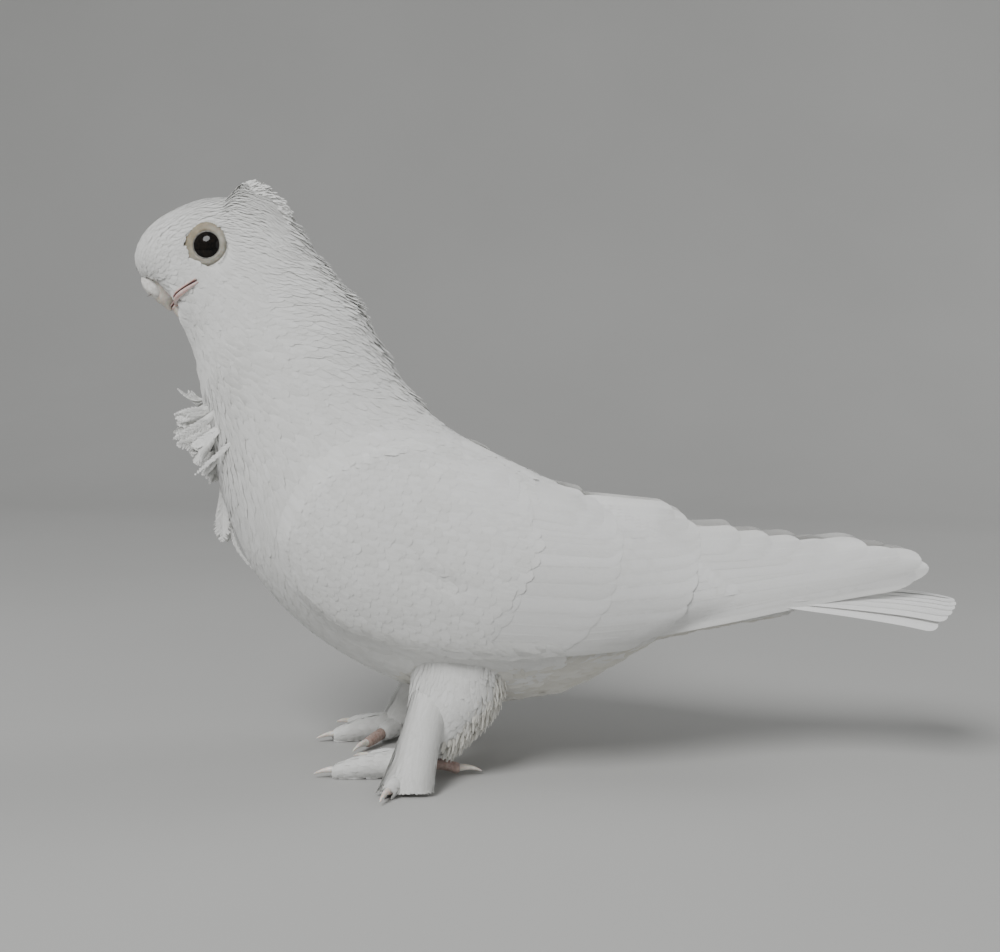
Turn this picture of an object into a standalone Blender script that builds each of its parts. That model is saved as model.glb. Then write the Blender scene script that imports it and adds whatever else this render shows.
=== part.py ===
"""A white pigeon with a peak crest, a breast frill and feathered feet, standing: a still model, life size.

The bird faces -X, its left side is at -Y, up is +Z, and it stands on z = 0.
Sizes are in millimetres and are turned into metres as each mesh is written.
"""

import bisect
import math
import random

import bmesh
import bpy
import numpy as np
from mathutils import Matrix, Vector

MM = 0.001
GAP = 0.3            # between two pieces that meet
AROUND = 24          # points round a section of the body
HEAD_STEPS = 2       # rings from one body line to the next in the head, where the rest has one

WHITE = (0.78, 0.78, 0.75)
CREAM = (0.62, 0.60, 0.52)
HORN = (0.66, 0.60, 0.52)
PINK = (0.52, 0.27, 0.24)
DARK = (0.012, 0.011, 0.012)


# The body is one form, seen as lines across it from the back to the front or underside.
# Each line holds the back point (x, z), the front point (x, z) and the half width.
BODY_LINES = (
    (-156.6, 184.5, -154.6, 181.5, 2.5),     # where the forehead meets the bill
    (-157.0, 187.5, -151.5, 179.5, 5.6),
    (-156.3, 192.8, -147.0, 177.5, 8.6),
    (-153.3, 198.6, -142.6, 174.5, 10.8),
    (-147.3, 204.2, -139.3, 169.6, 12.3),
    (-139.6, 208.4, -138.2, 163.4, 13.3),
    (-130.6, 211.4, -136.4, 158.4, 14.2),    # the eye
    (-120.6, 211.6, -134.6, 153.4, 15.2),
    (-110.1, 208.6, -133.2, 147.6, 16.8),
    (-99.7, 202.4, -132.2, 141.4, 18.8),    # the head ends here
    (-91.4, 192.5, -131.0, 134.0, 20.8),
    (-81.8, 181.4, -129.4, 126.0, 23.2),
    (-72.1, 168.9, -127.6, 117.0, 25.8),
    (-63.7, 154.3, -125.6, 107.0, 28.8),
    (-55.6, 141.8, -123.0, 97.0, 32.2),      # the neck ends here
    (-44.0, 130.2, -118.6, 86.0, 36.0),
    (-29.0, 121.2, -111.6, 71.8, 39.4),
    (-12.0, 113.0, -99.6, 57.2, 41.2),
    (5.0, 105.4, -82.6, 43.6, 41.6),
    (21.6, 98.0, -62.0, 32.8, 40.2),
    (37.0, 90.6, -39.6, 26.4, 36.6),
    (50.6, 83.2, -16.4, 24.0, 31.4),
    (62.4, 76.8, 5.0, 29.0, 25.6),
    (72.0, 71.6, 25.6, 44.4, 20.0),          # the torso ends here
    (80.6, 68.2, 45.0, 50.0, 15.6),
    (88.0, 65.6, 62.0, 53.8, 11.6),
    (93.6, 63.6, 76.0, 55.8, 7.6),
    (97.0, 62.0, 88.0, 58.0, 3.4),
)
HEAD_ENDS, NECK_ENDS, TORSO_ENDS = 9, 14, 23
FULLNESS = 2.15      # 2 makes each section an ellipse, more makes it squarer

# The eye looks out to the side, a little forward and up.
EYE_CENTRE = Vector((-127.2, -11.6, 192.6))
EYE_AXIS = Vector((-0.10, -1.0, 0.12)).normalized()
EYE_RADIUS = 6.0
EYE_DEPTH = 3.6
LID_OPENING = 5.3
RING_RADIUS = 8.1
RING_BACK = -1.4
POCKET_BACK = -1.7

# The folded wing, seen from the side: its upper and lower edge as (x, z), and how far each lies from
# the middle.
WING_UPPER = (
    (-97, 90, 26), (-86, 108, 24), (-64, 121, 18), (-40, 122.5, 13.5), (-15, 113.5, 11.5),
    (8, 105.5, 10), (26, 100.6, 9.5), (38, 100.6, 9), (49, 95.5, 9), (62, 93.2, 8.5),
    (85, 89.6, 7), (106, 86.6, 6), (124, 87.2, 5.5), (136, 84.6, 5.5), (142.5, 80, 6),
)
WING_LOWER = (
    (-98, 84, 29), (-93, 67, 30), (-77, 55, 31), (-53, 48, 31), (-30, 45, 31),
    (-9, 44.5, 30.5), (10, 46.5, 29), (27, 49.2, 27), (42, 51.2, 24.5), (55, 53.2, 22),
    (79, 59.2, 18), (101, 64.6, 14.5), (120, 69.4, 12), (134, 73, 10.5), (142.5, 76.5, 9.5),
)
WING_COVER = 3.8     # how thick the wing lies on the body
NEAREST_MIDDLE = 0.4
WING_BULGE = 2.2
WING_RINGS = 12
WING_CORE_ENDS = 64.0             # the flight feathers go on alone from here
FEATHER = 0.55                    # how thick a vane is
TILT = 0.45                       # how far a vane's lower edge stands off, and its upper edge sinks

# Rows of wing feathers: how many, then root and tip (x, z) of the lowest and of the highest, then the
# half width.
WING_ROWS = (
    (7, (40, 54.5), (142, 76.5), (48, 89.5), (104, 86.6), 4.0),    # primaries
    (6, (-30, 50), (38, 51.5), (-2, 100), (58, 91.6), 5.2),        # secondaries and tertials
    (5, (-58, 54), (8, 52), (-24, 110), (27, 95.5), 7.4),          # greater coverts
    (5, (-80, 63), (-24, 53), (-58, 114), (-4, 104.5), 7.8),       # median coverts
)
ROW_LIFT = (0.0, 0.5, 0.8, 1.0)
ROW_STACK = (0.62, 0.1, 0.0, 0.0)  # how much farther out each vane's tip lies than the one below it

HACKLE_ROWS = ((9.3, 2.2, 0.24), (10.7, 2.2, 0.0), (12.0, 1.8, 0.24))   # line, length in lines, first angle
HACKLES_IN_ROW = 3
HACKLE_SPACING = 0.5              # radians
HACKLE_HALF_ANGLE = 0.23
# The crest: the body line of each root, the angle off the middle, the length and how far it leans back.
CREST_ROWS = (
    (6.6, 0.12, 8.8, 0.36), (6.9, 0.0, 10.2, 0.66), (7.2, 0.20, 10.6, 0.72), (7.65, 0.16, 12.0, 0.98),
    (8.1, 0.20, 12.6, 1.14),
)
CREST_HALF_WIDTH = 5.8

TAIL_ROOT_X, TAIL_TIP_X = 62.0, 156.0
TAIL_ROOT_Z, TAIL_TIP_Z = 66.2, 64.4
TAIL_ROOT_HALF, TAIL_TIP_HALF = 11.0, 27.0
TAIL_DROP = 6.0      # how much lower the outer feathers lie than the middle ones, besides
TAIL_STEP = 0.85     # each one's place under its neighbour
TAIL_FEATHERS = 10

# Each leg: rings from the thigh down (x, distance from the middle, z, half length, half width).
LEG_LINES = {
    "left": ((-33, 24, 50, 19, 10.5), (-34, 25, 36, 18.6, 12), (-35.5, 26, 27, 17.6, 12),
             (-39, 27, 19, 14.6, 10.4), (-45, 28, 12, 10.8, 8.8), (-48.5, 28.4, 7.6, 8.4, 7.4)),
    "right": ((-35, 23, 50, 19, 10.5), (-37, 24, 36, 18.4, 12), (-40, 25, 27, 17, 12),
              (-45.5, 25.6, 19, 13.8, 10.4), (-53, 25.8, 12, 10.4, 8.6), (-57.5, 25.8, 7.6, 8.2, 7.4)),
}
# Rows of stocking feathers: how far down the leg lines, at which angles round it (0 is behind), how long.
STOCKING_ROWS = ((2.0, (-50, 0, 50), 15), (3.0, (-75, -25, 25, 75), 12), (3.8, (-100, -35, 35, 100), 8))
SIDES = {"left": -1, "right": 1}
SOLE = 6.4           # the height of the ankle over the floor
TOE_RADIUS = 3.1
# Where each toe ends on the floor: (x, distance from the middle).
TOES = {
    "left": {"inner": (-67, 13), "middle": (-77, 31), "outer": (-56, 55), "hind": (-32, 26)},
    "right": {"inner": (-70, 5), "middle": (-83, 18), "outer": (-79, 38), "hind": (-42, 25)},
}
CLAW_LENGTH, CLAW_RADIUS = 8.5, 1.5
# Feathers over the toes: beside which toe, how far aside of it, and how much of its length they reach.
FOOT_FEATHERS = (("outer", -6.5, 0.92), ("outer", 0.0, 0.96), ("outer", 6.5, 0.88),
                 ("middle", -3.0, 0.80), ("middle", 3.0, 0.86))


def clear_scene():
    for obj in list(bpy.data.objects):
        bpy.data.objects.remove(obj, do_unlink=True)


def material(name, colour, roughness):
    made = bpy.data.materials.new(name)
    made.use_nodes = True
    shader = made.node_tree.nodes["Principled BSDF"]
    shader.inputs["Base Color"].default_value = (*colour, 1)
    shader.inputs["Roughness"].default_value = roughness
    shader.inputs["Metallic"].default_value = 0
    return made


def mesh_object(name, points, faces, look=None):
    """A mesh from points in millimetres."""
    mesh = bpy.data.meshes.new(name)
    mesh.from_pydata([Vector(p) * MM for p in points], [], faces)
    mesh.update()
    obj = bpy.data.objects.new(name, mesh)
    bpy.context.scene.collection.objects.link(obj)
    if look:
        mesh.materials.append(look)
    return obj


def spline(rows, at):
    """The row at a place along a list of rows, on a smooth curve through them."""
    last = len(rows) - 1
    at = min(max(at, 0.0), float(last))
    low = min(int(at), last - 1)
    f = at - low
    a, b, c, d = (np.array(rows[min(max(k, 0), last)], float) for k in (low - 1, low, low + 1, low + 2))
    return 0.5 * (2 * b + (c - a) * f + (2 * a - 5 * b + 4 * c - d) * f**2 + (3 * b - a - 3 * c + d) * f**3)


def smoothstep(low, high, value):
    f = min(max((value - low) / (high - low), 0.0), 1.0)
    return f * f * (3 - 2 * f)


def body_point(line, angle, out=0.0):
    """A point out from the body's surface. Angle 0 is the back and pi the underside."""
    back_x, back_z, front_x, front_z, half_width = spline(BODY_LINES, line)
    half = Vector((back_x - front_x, 0, back_z - front_z)) / 2
    centre = Vector((back_x + front_x, 0, back_z + front_z)) / 2
    grow = 1 + out / half.length
    c, s = math.cos(angle), math.sin(angle)
    power = 2 / FULLNESS
    along = math.copysign(abs(c) ** power, c)
    across = math.copysign(abs(s) ** power, s)
    return centre + half * grow * along + Vector((0, (half_width + out) * across, 0))


def body_side(x, z):
    """Where a side view shows x, z: the body's line, the share of the way from its middle to the back, and
    its half width there."""
    def past(line):
        back_x, back_z, front_x, front_z, _ = spline(BODY_LINES, line)
        return (x - front_x) * (back_z - front_z) - (z - front_z) * (back_x - front_x)
    low, high = 0.0, len(BODY_LINES) - 1.0
    for _ in range(30):
        middle = (low + high) / 2
        low, high = (middle, high) if past(middle) > 0 else (low, middle)
    back_x, back_z, front_x, front_z, half_width = spline(BODY_LINES, low)
    half = Vector((back_x - front_x, back_z - front_z)) / 2
    middle = Vector((back_x + front_x, back_z + front_z)) / 2
    share = (Vector((x, z)) - middle).dot(half) / half.length_squared
    wide = half_width * max(1 - min(abs(share), 1.0) ** FULLNESS, 0.0) ** (1 / FULLNESS)
    return low, share, wide


def skin_faces(rings, around):
    """Faces between rings of points, with both ends closed."""
    faces = [tuple(range(around)), tuple(range((rings - 1) * around, rings * around))[::-1]]
    for r in range(rings - 1):
        for a in range(around):
            b = (a + 1) % around
            faces.append((r * around + a, (r + 1) * around + a, (r + 1) * around + b))
            faces.append((r * around + a, (r + 1) * around + b, r * around + b))
    return faces


def facing_out(obj):
    """Turns every face outwards."""
    mesh = bmesh.new()
    mesh.from_mesh(obj.data)
    bmesh.ops.recalc_face_normals(mesh, faces=mesh.faces)
    if mesh.calc_volume(signed=True) < 0:
        bmesh.ops.reverse_faces(mesh, faces=mesh.faces)
    mesh.to_mesh(obj.data)
    mesh.free()
    return obj


def tube(name, rings, look=None):
    """A closed form through rings of points, each ring with as many points."""
    points = [p for ring in rings for p in ring]
    return facing_out(mesh_object(name, points, skin_faces(len(rings), len(rings[0])), look))


def body_length(name, first, last, out=0.0, look=None, steps=1):
    """A length of the body between two of its lines, parted from its neighbours by a thin cut."""
    places = [first + k / steps for k in range((last - first) * steps + 1)]
    rings = [[body_point(line, math.tau * k / AROUND, out) for k in range(AROUND)] for line in places]
    for end, inner, is_cut in ((0, 1, first > 0), (-1, -2, last < len(BODY_LINES) - 1)):
        if is_cut:
            inward = sum((b - a for a, b in zip(rings[end], rings[inner])), Vector()).normalized()
            rings[end] = [p + inward * (GAP / 2 - out) for p in rings[end]]
    return tube(name, rings, look)


def apply_modifiers(obj):
    bpy.context.view_layer.update()
    evaluated = obj.evaluated_get(bpy.context.evaluated_depsgraph_get())
    mesh = bpy.data.meshes.new_from_object(evaluated)
    obj.modifiers.clear()
    obj.data = mesh


def keep_largest(obj):
    """Keeps the largest closed surface of a mesh."""
    mesh = bmesh.new()
    mesh.from_mesh(obj.data)
    left, islands = set(mesh.faces), []
    while left:
        stack, island = [left.pop()], []
        while stack:
            face = stack.pop()
            island.append(face)
            for edge in face.edges:
                for other in edge.link_faces:
                    if other in left:
                        left.remove(other)
                        stack.append(other)
        islands.append(island)
    islands.sort(key=lambda faces: sum(face.calc_area() for face in faces))
    for island in islands[:-1]:
        bmesh.ops.delete(mesh, geom=island, context="FACES")
    mesh.to_mesh(obj.data)
    mesh.free()


def fuse(obj, pieces, solver="MANIFOLD"):
    """Joins closed pieces into obj with one union."""
    group = bpy.data.collections.new("joined to " + obj.name)
    for piece in pieces:
        group.objects.link(piece)
    union = obj.modifiers.new("join", "BOOLEAN")
    union.operation, union.operand_type, union.collection = "UNION", "COLLECTION", group
    union.solver = solver
    apply_modifiers(obj)
    for piece in pieces:
        bpy.data.objects.remove(piece, do_unlink=True)
    bpy.data.collections.remove(group)
    keep_largest(obj)
    return obj


def cut(obj, cutters, solver="MANIFOLD"):
    """Takes the cutters away from obj, and then removes them."""
    for cutter in cutters:
        difference = obj.modifiers.new("cut", "BOOLEAN")
        difference.operation, difference.object, difference.solver = "DIFFERENCE", cutter, solver
        apply_modifiers(obj)
    for cutter in cutters:
        bpy.data.objects.remove(cutter, do_unlink=True)
    keep_largest(obj)
    return obj


def turned(name, profile, look=None, around=14):
    """A closed form turned about +Z from (radius, height) points, whose first and last lie on the axis."""
    turns = [math.tau * k / around for k in range(around)]
    rings = [[(r * math.cos(a), r * math.sin(a), h) for a in turns] for r, h in profile[1:-1]]
    points = [p for ring in rings for p in ring] + [(0, 0, profile[0][1]), (0, 0, profile[-1][1])]
    first, last = len(points) - 2, len(points) - 1
    faces = skin_faces(len(rings), around)[2:]
    for k in range(around):
        n = (k + 1) % around
        faces.append((first, k, n))
        faces.append((last, (len(rings) - 1) * around + n, (len(rings) - 1) * around + k))
    return facing_out(mesh_object(name, points, faces, look))


def lay_along(obj, centre, axis):
    """Stands a turned form's +Z on an axis through centre, and applies the place."""
    turn = Vector(axis).to_track_quat("Z", "Y").to_matrix().to_4x4()
    obj.data.transform(Matrix.Translation(Vector(centre) * MM) @ turn)
    return obj


def mirrored(point, side):
    return Vector((point[0], -point[1] * side, point[2]))


def bead(name, centre, radii, look=None, rings=5, around=10):
    """An ellipsoid."""
    profile = [(math.sin(math.pi * k / rings), -math.cos(math.pi * k / rings)) for k in range(rings + 1)]
    obj = turned(name, profile, look, around)
    obj.data.transform(Matrix.Translation(Vector(centre) * MM) @ Matrix.Diagonal((*radii, 1)))
    return obj


def mirrored_bead(name, centre, radii, side):
    return bead(name, mirrored(centre, side), radii, None, 4, 8)


def eye_profile(radius, depth):
    steps = 6
    turns = [math.pi * k / steps for k in range(steps + 1)]
    return [(radius * math.sin(a), -depth * math.cos(a)) for a in turns]


def make_eyes(looks):
    """Each eye is a flat ball in a pocket of the head, with a fleshy ring round it."""
    pockets = []
    for name, side in SIDES.items():
        centre, axis = mirrored(EYE_CENTRE, side), mirrored(EYE_AXIS, side)
        eye = turned("eye_" + name, eye_profile(EYE_RADIUS, EYE_DEPTH), looks["eye"])
        lay_along(eye, centre, axis)
        ring_profile = ((0, RING_BACK), (RING_RADIUS - 0.5, RING_BACK), (RING_RADIUS, 0.4),
                        (RING_RADIUS - 0.8, 1.6), (6.4, 2.5), (5.6, 2.6), (LID_OPENING - 0.2, 2.2),
                        (LID_OPENING - 0.4, 1.2), (0, 1.2))
        ring = turned("eye_ring_" + name, ring_profile, looks["cere"])
        lay_along(ring, centre, axis)
        ball = lay_along(turned("ball", eye_profile(EYE_RADIUS + GAP, EYE_DEPTH + GAP)), centre, axis)
        ball_for_head = ball.copy()
        ball_for_head.data = ball.data.copy()
        bpy.context.scene.collection.objects.link(ball_for_head)
        cut(ring, [ball])
        front = 9.0
        pocket_profile = ((0, POCKET_BACK), (RING_RADIUS - 0.5 + GAP, POCKET_BACK),
                          (RING_RADIUS + GAP, 0.4), (RING_RADIUS + GAP, front), (0, front))
        pocket = lay_along(turned("pocket", pocket_profile), centre, axis)
        pockets += [pocket, ball_for_head]
    return pockets


def section(front, back, half_width, around=14):
    """A ring of points round a section of the bill, from its front point to its back point."""
    centre = Vector((front[0] + back[0], 0, front[1] + back[1])) / 2
    half = Vector((front[0] - back[0], 0, front[1] - back[1])) / 2
    turns = [math.tau * k / around for k in range(around)]
    return [centre + half * math.cos(a) + Vector((0, half_width * math.sin(a), 0)) for a in turns]


UPPER_BILL = (((-153.0, 184.5), (-137.0, 186.5), 5.2), ((-153.6, 180.6), (-135.2, 181.6), 5.6),
              ((-152.2, 176.6), (-138.8, 176.8), 4.8), ((-149.4, 173.0), (-141.6, 173.6), 3.6),
              ((-146.6, 170.9), (-143.3, 171.6), 2.2), ((-144.6, 169.4), (-143.5, 169.7), 0.9))
NOSTRIL, NOSTRIL_RADII = (-149.6, -5.0, 174.9), (1.8, 1.0, 0.6)    # a slit under each lobe of the cere
LOWER_BILL = (((-135.4, 182.0), (-130.6, 169.5), 4.7), ((-138.6, 178.0), (-135.0, 166.4), 4.5),
              ((-141.0, 174.6), (-139.2, 165.4), 3.8), ((-142.6, 172.2), (-141.8, 166.2), 2.8),
              ((-143.4, 169.8), (-142.9, 167.6), 1.3))


def grown(lines, by):
    """Bill sections, each larger by a gap all round, and the first one set back by it."""
    made = []
    for front, back, half_width in lines:
        front, back = Vector(front), Vector(back)
        out = (front - back).normalized() * by
        made.append((front + out, back - out, half_width + by))
    set_back = ((made[0][0] + made[0][1]) - (made[1][0] + made[1][1])).normalized() * by
    made[0] = (made[0][0] + set_back, made[0][1] + set_back, made[0][2])
    return made


def make_bill(looks):
    upper_bill = tube("bill_upper", [section(*line) for line in UPPER_BILL], looks["horn"])
    cut(upper_bill, [mirrored_bead("nostril", NOSTRIL, NOSTRIL_RADII, side) for side in SIDES.values()])
    tube("bill_lower", [section(*line) for line in LOWER_BILL], looks["horn"])
    cut(bpy.data.objects["bill_lower"], [tube("clear", [section(*line) for line in grown(UPPER_BILL, GAP)])])
    cere = fuse(bead("cere", (-151.2, -2.4, 178.2), (3.6, 3.0, 4.4), looks["cere"]),
                [bead("other", (-151.2, 2.4, 178.2), (3.6, 3.0, 4.4))])
    cut(cere, [tube("clear", [section(*line) for line in grown(UPPER_BILL, GAP)])])
    cut(cere, [body_length("clear", 0, HEAD_ENDS, GAP, steps=HEAD_STEPS)])
    upper = tube("clear", [section(*line) for line in grown(UPPER_BILL, GAP)])
    return [fuse(upper, [tube("clear", [section(*line) for line in grown(LOWER_BILL, GAP)])])]


def crest_feathers():
    """A low peak at the back of the crown: overlapping feathers that lean back and meet at its top."""
    draw = random.Random(3)
    made = []
    for line, aside, length, lean in CREST_ROWS:
        for angle in (-aside, aside) if aside else (0,):
            root = body_point(line, angle, -3)
            heading = Vector((math.sin(lean), -0.05 * root.y, math.cos(lean)))
            facing_aside = math.copysign(1.4, angle) if angle else draw.uniform(-0.4, 0.4)
            up = Vector((-math.cos(lean), facing_aside, math.sin(lean)))
            made.append(free_vane(root, heading, up, length, CREST_HALF_WIDTH, -draw.uniform(0.1, 0.25)))
    return made


def make_head(looks):
    head = body_length("head", 0, HEAD_ENDS, look=looks["plumage"], steps=HEAD_STEPS)
    fuse(head, crest_feathers())
    cut(head, make_eyes(looks) + make_bill(looks))


def make_neck(looks):
    """The neck, with rows of hackles down the nape and sides and the upper part of the frill."""
    neck = body_length("neck", HEAD_ENDS, NECK_ENDS, look=looks["plumage"])
    draw = random.Random(5)
    vanes = []
    for line, length, first in HACKLE_ROWS:
        for k in range(HACKLES_IN_ROW):
            for side in (-1, 1) if first or k else (1,):
                angle = side * (first + HACKLE_SPACING * k + draw.uniform(-0.03, 0.03))
                vanes.append(body_vane(line, length, angle, HACKLE_HALF_ANGLE, draw.uniform(0.9, 1.5)))
    fuse(neck, vanes + frill(FRILL_ON_NECK, draw))


# The breast frill: the body line of each pair of curled feathers, how far it leaves the middle, its length,
# how much it rises as it leaves the breast, and its half width.
FRILL_ON_NECK = ((9.7, 0.10, 15, 0.15, 1.6), (10.5, 0.24, 16, 0.0, 3.8), (11.0, 0.07, 18, -0.12, 4.2),
                 (11.7, 0.30, 17, -0.30, 4.2), (12.3, 0.12, 17, -0.45, 4.0), (12.9, 0.26, 16, -0.9, 2.8),
                 (13.1, 0.10, 22, -1.35, 2.8))
FRILL_ON_TORSO = ((14.9, 0.13, 17, -1.9, 2.2), (15.4, 0.40, 14, -1.5, 2.4))


def frill(rows, draw):
    """Feathers that leave the breast on both sides of the middle, and curl outwards."""
    vanes = []
    for line, aside, length, rise, half_width in rows:
        for side in (-1, 1):
            angle = math.pi - side * aside
            root, outer = body_point(line, angle, -2.5), body_point(line, angle, 4)
            heading = (outer - root).normalized() + Vector((0, 0, rise + draw.uniform(-0.05, 0.05)))
            up = Vector((0, side, draw.uniform(-0.2, 0.2)))
            vanes.append(free_vane(root, heading, up, length, half_width, draw.uniform(0.5, 1.0)))
    return vanes


def make_torso(looks):
    torso = body_length("torso", NECK_ENDS, TORSO_ENDS, look=looks["plumage"])
    fuse(torso, frill(FRILL_ON_TORSO, random.Random(8)))
    cut(torso, [body_length("clear", HEAD_ENDS, NECK_ENDS, GAP)])


def tail_height(x, y):
    f = (x - TAIL_ROOT_X) / (TAIL_TIP_X - TAIL_ROOT_X)
    middle = TAIL_ROOT_Z + (TAIL_TIP_Z - TAIL_ROOT_Z) * f
    return middle - TAIL_DROP * (y / TAIL_TIP_HALF) ** 2


def tail_clear():
    """The room that the closed fan of the tail takes, with a gap round it."""
    rings = []
    for k in range(9):
        x = 78 + (TAIL_TIP_X + 4 - 78) * k / 8
        half = tail_half(x) + 1.5
        ys = [half * (-1 + 2 * j / 8) for j in range(9)]
        top = [(x, y, tail_height(x, y) + 1.5 + GAP) for y in ys]
        rings.append(top + [(x, y, z - 12) for x, y, z in reversed(top)])
    return tube("clear", rings)


def tail_half(x):
    f = (x - TAIL_ROOT_X) / (TAIL_TIP_X - TAIL_ROOT_X)
    return TAIL_ROOT_HALF + (TAIL_TIP_HALF - TAIL_ROOT_HALF) * f


def tail_vane(number):
    """A tail feather. They are numbered from the bird's left, and the middle ones lie on top."""
    place = -1 + 2 * number / (TAIL_FEATHERS - 1)
    under = round((abs(place) * (TAIL_FEATHERS - 1) - 1) / 2) + (place > 0)
    start, end = 74.0, TAIL_TIP_X - 5.5 * abs(place) ** 1.5
    sections = []
    for f, wide in ((0, 0.5), (0.4, 0.9), (0.9, 1.0), (1, 0.5)):
        x = start + (end - start) * f
        middle = place * (tail_half(x) - 4.5)
        corners = []
        for c in (-1, 1):
            y = middle + 5.6 * wide * c
            corners.append((x, y, tail_height(x, y) - TAIL_STEP * under))
        (x0, y0, z0), (x1, y1, z1) = corners
        sections.append([(x0, y0, z0), (x1, y1, z1), (x1, y1, z1 - FEATHER), (x0, y0, z0 - FEATHER)])
    return vane(sections)


def make_tail(looks):
    tail = body_length("tail", TORSO_ENDS, len(BODY_LINES) - 1, look=looks["plumage"])
    fuse(tail, [tail_vane(k) for k in range(TAIL_FEATHERS)])


def edge_at(edge, x):
    """Height and distance from the middle of a wing edge at x."""
    places = [row[0] for row in edge]
    k = min(max(bisect.bisect(places, x) - 1, 0), len(edge) - 2)
    return spline(edge, k + (x - places[k]) / (places[k + 1] - places[k]))[1:]


def wing_surface(x, z, out=0.0):
    """How far from the middle the folded wing's outer face lies where a side view shows x, z."""
    upper_z, upper_y = edge_at(WING_UPPER, x)
    lower_z, lower_y = edge_at(WING_LOWER, x)
    f = min(max((z - lower_z) / max(upper_z - lower_z, 0.1), 0.0), 1.0)
    arch = 4 * f * (1 - f)
    blade = lower_y + (upper_y - lower_y) * f + WING_BULGE * arch
    cover = WING_COVER * min(1.0, 1.5 * arch + 0.92) * smoothstep(-108, -88, x)
    return max(blade, body_side(x, z)[2] + cover, NEAREST_MIDDLE + 1) + out


def wing_form(name, side, out=0.0, look=None, ends=143.0):
    """The folded wing as one smooth form, before the body is cut from it."""
    rings, inset = [], 0.8 - out
    for k in range(WING_RINGS + 1):
        x = -97 - out + (ends + out + 97) * k / WING_RINGS
        thick = 5.5 - 3.9 * smoothstep(25, 65, x)
        low, high = edge_at(WING_LOWER, x)[0] + inset, edge_at(WING_UPPER, x)[0] - inset
        heights = [low + (high - low) * j / 5 for j in range(6)]
        faces = [wing_surface(x, z, out) for z in heights]
        outer = [(x, side * y, z) for y, z in zip(faces, heights)]
        inner = [(x, side * max(y - thick - 2 * out, NEAREST_MIDDLE), z) for y, z in zip(faces, heights)]
        rings.append(outer + inner[::-1])
    return tube(name, rings, look)


def wing_vane(side, root, tip, half_width, lift, stacked):
    """A flight feather or covert that lies on the wing, its lower edge over the feather below it."""
    root, tip = Vector(root), Vector(tip)
    run = tip - root
    across = Vector((-run.y, run.x)).normalized()
    sections = []
    for f, wide in ((0, 0.6), (0.4, 1.0), (0.84, 0.92), (1, 0.22)):
        middle = root + run * f + across * run.length * 0.025 * math.sin(math.pi * f)
        section = []
        for c in (-1, 1):
            x, z = middle + across * half_width * wide * c
            top_z = edge_at(WING_UPPER, x)[0] + 0.6
            y = wing_surface(x, min(z, top_z)) + (lift + stacked) * f - 1.4 * (1 - f) ** 2 - TILT * c
            section.append((x, y, min(z, top_z)))
        (x0, y0, z0), (x1, y1, z1) = section
        sections.append([(x0, side * y0, z0), (x1, side * y1, z1),
                         (x1, side * max(y1 - FEATHER, NEAREST_MIDDLE), z1), (x0, side * (y0 - FEATHER), z0)])
    return vane(sections)


def vane(sections):
    """A closed thin sheet through four-cornered sections, split into triangles alike on both faces."""
    points = [p for section in sections for p in section]
    faces = [(0, 1, 2), (0, 2, 3)]
    last = 4 * (len(sections) - 1)
    faces += [(last, last + 2, last + 1), (last, last + 3, last + 2)]
    for k in range(0, last, 4):
        for a, b in ((0, 1), (3, 2)):
            faces += [(k + a, k + b, k + 4 + b), (k + a, k + 4 + b, k + 4 + a)]
        for a, b in ((1, 2), (3, 0)):
            faces += [(k + a, k + b, k + 4 + b), (k + a, k + 4 + b, k + 4 + a)]
    return facing_out(mesh_object("vane", points, faces))


def body_vane(line, length, angle, half_angle, lift):
    """A feather that lies on the body along its lie, its root sunk and its tip raised."""
    sections = []
    for f, wide in ((0, 0.6), (0.6, 1.0), (1, 0.25)):
        at = line + length * f
        bottom = -2.2 + (2.0 + lift) * f ** 0.8
        top = bottom + FEATHER
        left, right = angle - half_angle * wide, angle + half_angle * wide
        sections.append([body_point(at, left, top), body_point(at, right, top),
                         body_point(at, right, bottom), body_point(at, left, bottom)])
    return vane(sections)


def free_vane(root, heading, up, length, half_width, bend, parts=3):
    """A feather that leaves its root along a heading, and bends towards up by an angle on the way."""
    heading, up = Vector(heading).normalized(), Vector(up)
    up = (up - heading * up.dot(heading)).normalized()
    across = heading.cross(up)
    centre, sections = Vector(root), []
    for k in range(parts + 1):
        f = k / parts
        turn = bend * f
        ahead = heading * math.cos(turn) + up * math.sin(turn)
        over = up * math.cos(turn) - heading * math.sin(turn)
        wide = half_width * (0.55 + 0.45 * math.sin(math.pi * min(f * 1.2, 1.0)) - 0.35 * f)
        thick = FEATHER / 2 * (1 - 0.35 * f)
        sections.append([centre - across * wide + over * thick, centre + across * wide + over * thick,
                         centre + across * wide - over * thick, centre - across * wide - over * thick])
        centre = centre + ahead * length / parts
    return vane(sections)


def make_wing(name, side, looks):
    wing = wing_form("wing_" + name, side, -0.9, looks["plumage"], WING_CORE_ENDS)
    draw = random.Random(11)
    vanes = []
    for row, lift, stack in zip(WING_ROWS, ROW_LIFT, ROW_STACK):
        count, low_root, low_tip, high_root, high_tip, half_width = row
        for k in range(count):
            f = k / (count - 1)
            stray = draw.uniform(-1.2, 1.2)
            root = Vector(low_root).lerp(Vector(high_root), f)
            tip = Vector(low_tip).lerp(Vector(high_tip), f) + Vector((stray + 3 * math.sin(math.pi * f), 0))
            vanes.append(wing_vane(side, root, tip, half_width, lift, stack * (k - count / 2)))
    fuse(wing, vanes)
    cut(wing, [body_length("clear", 0, len(BODY_LINES) - 1, GAP), tail_clear()])


def leg_point(name, side, place, angle, out=0.0):
    x, y, z, long, wide = spline(LEG_LINES[name], place)
    return Vector((x + (long + out) * math.cos(angle), side * y + (wide + out) * math.sin(angle), z))


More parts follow.
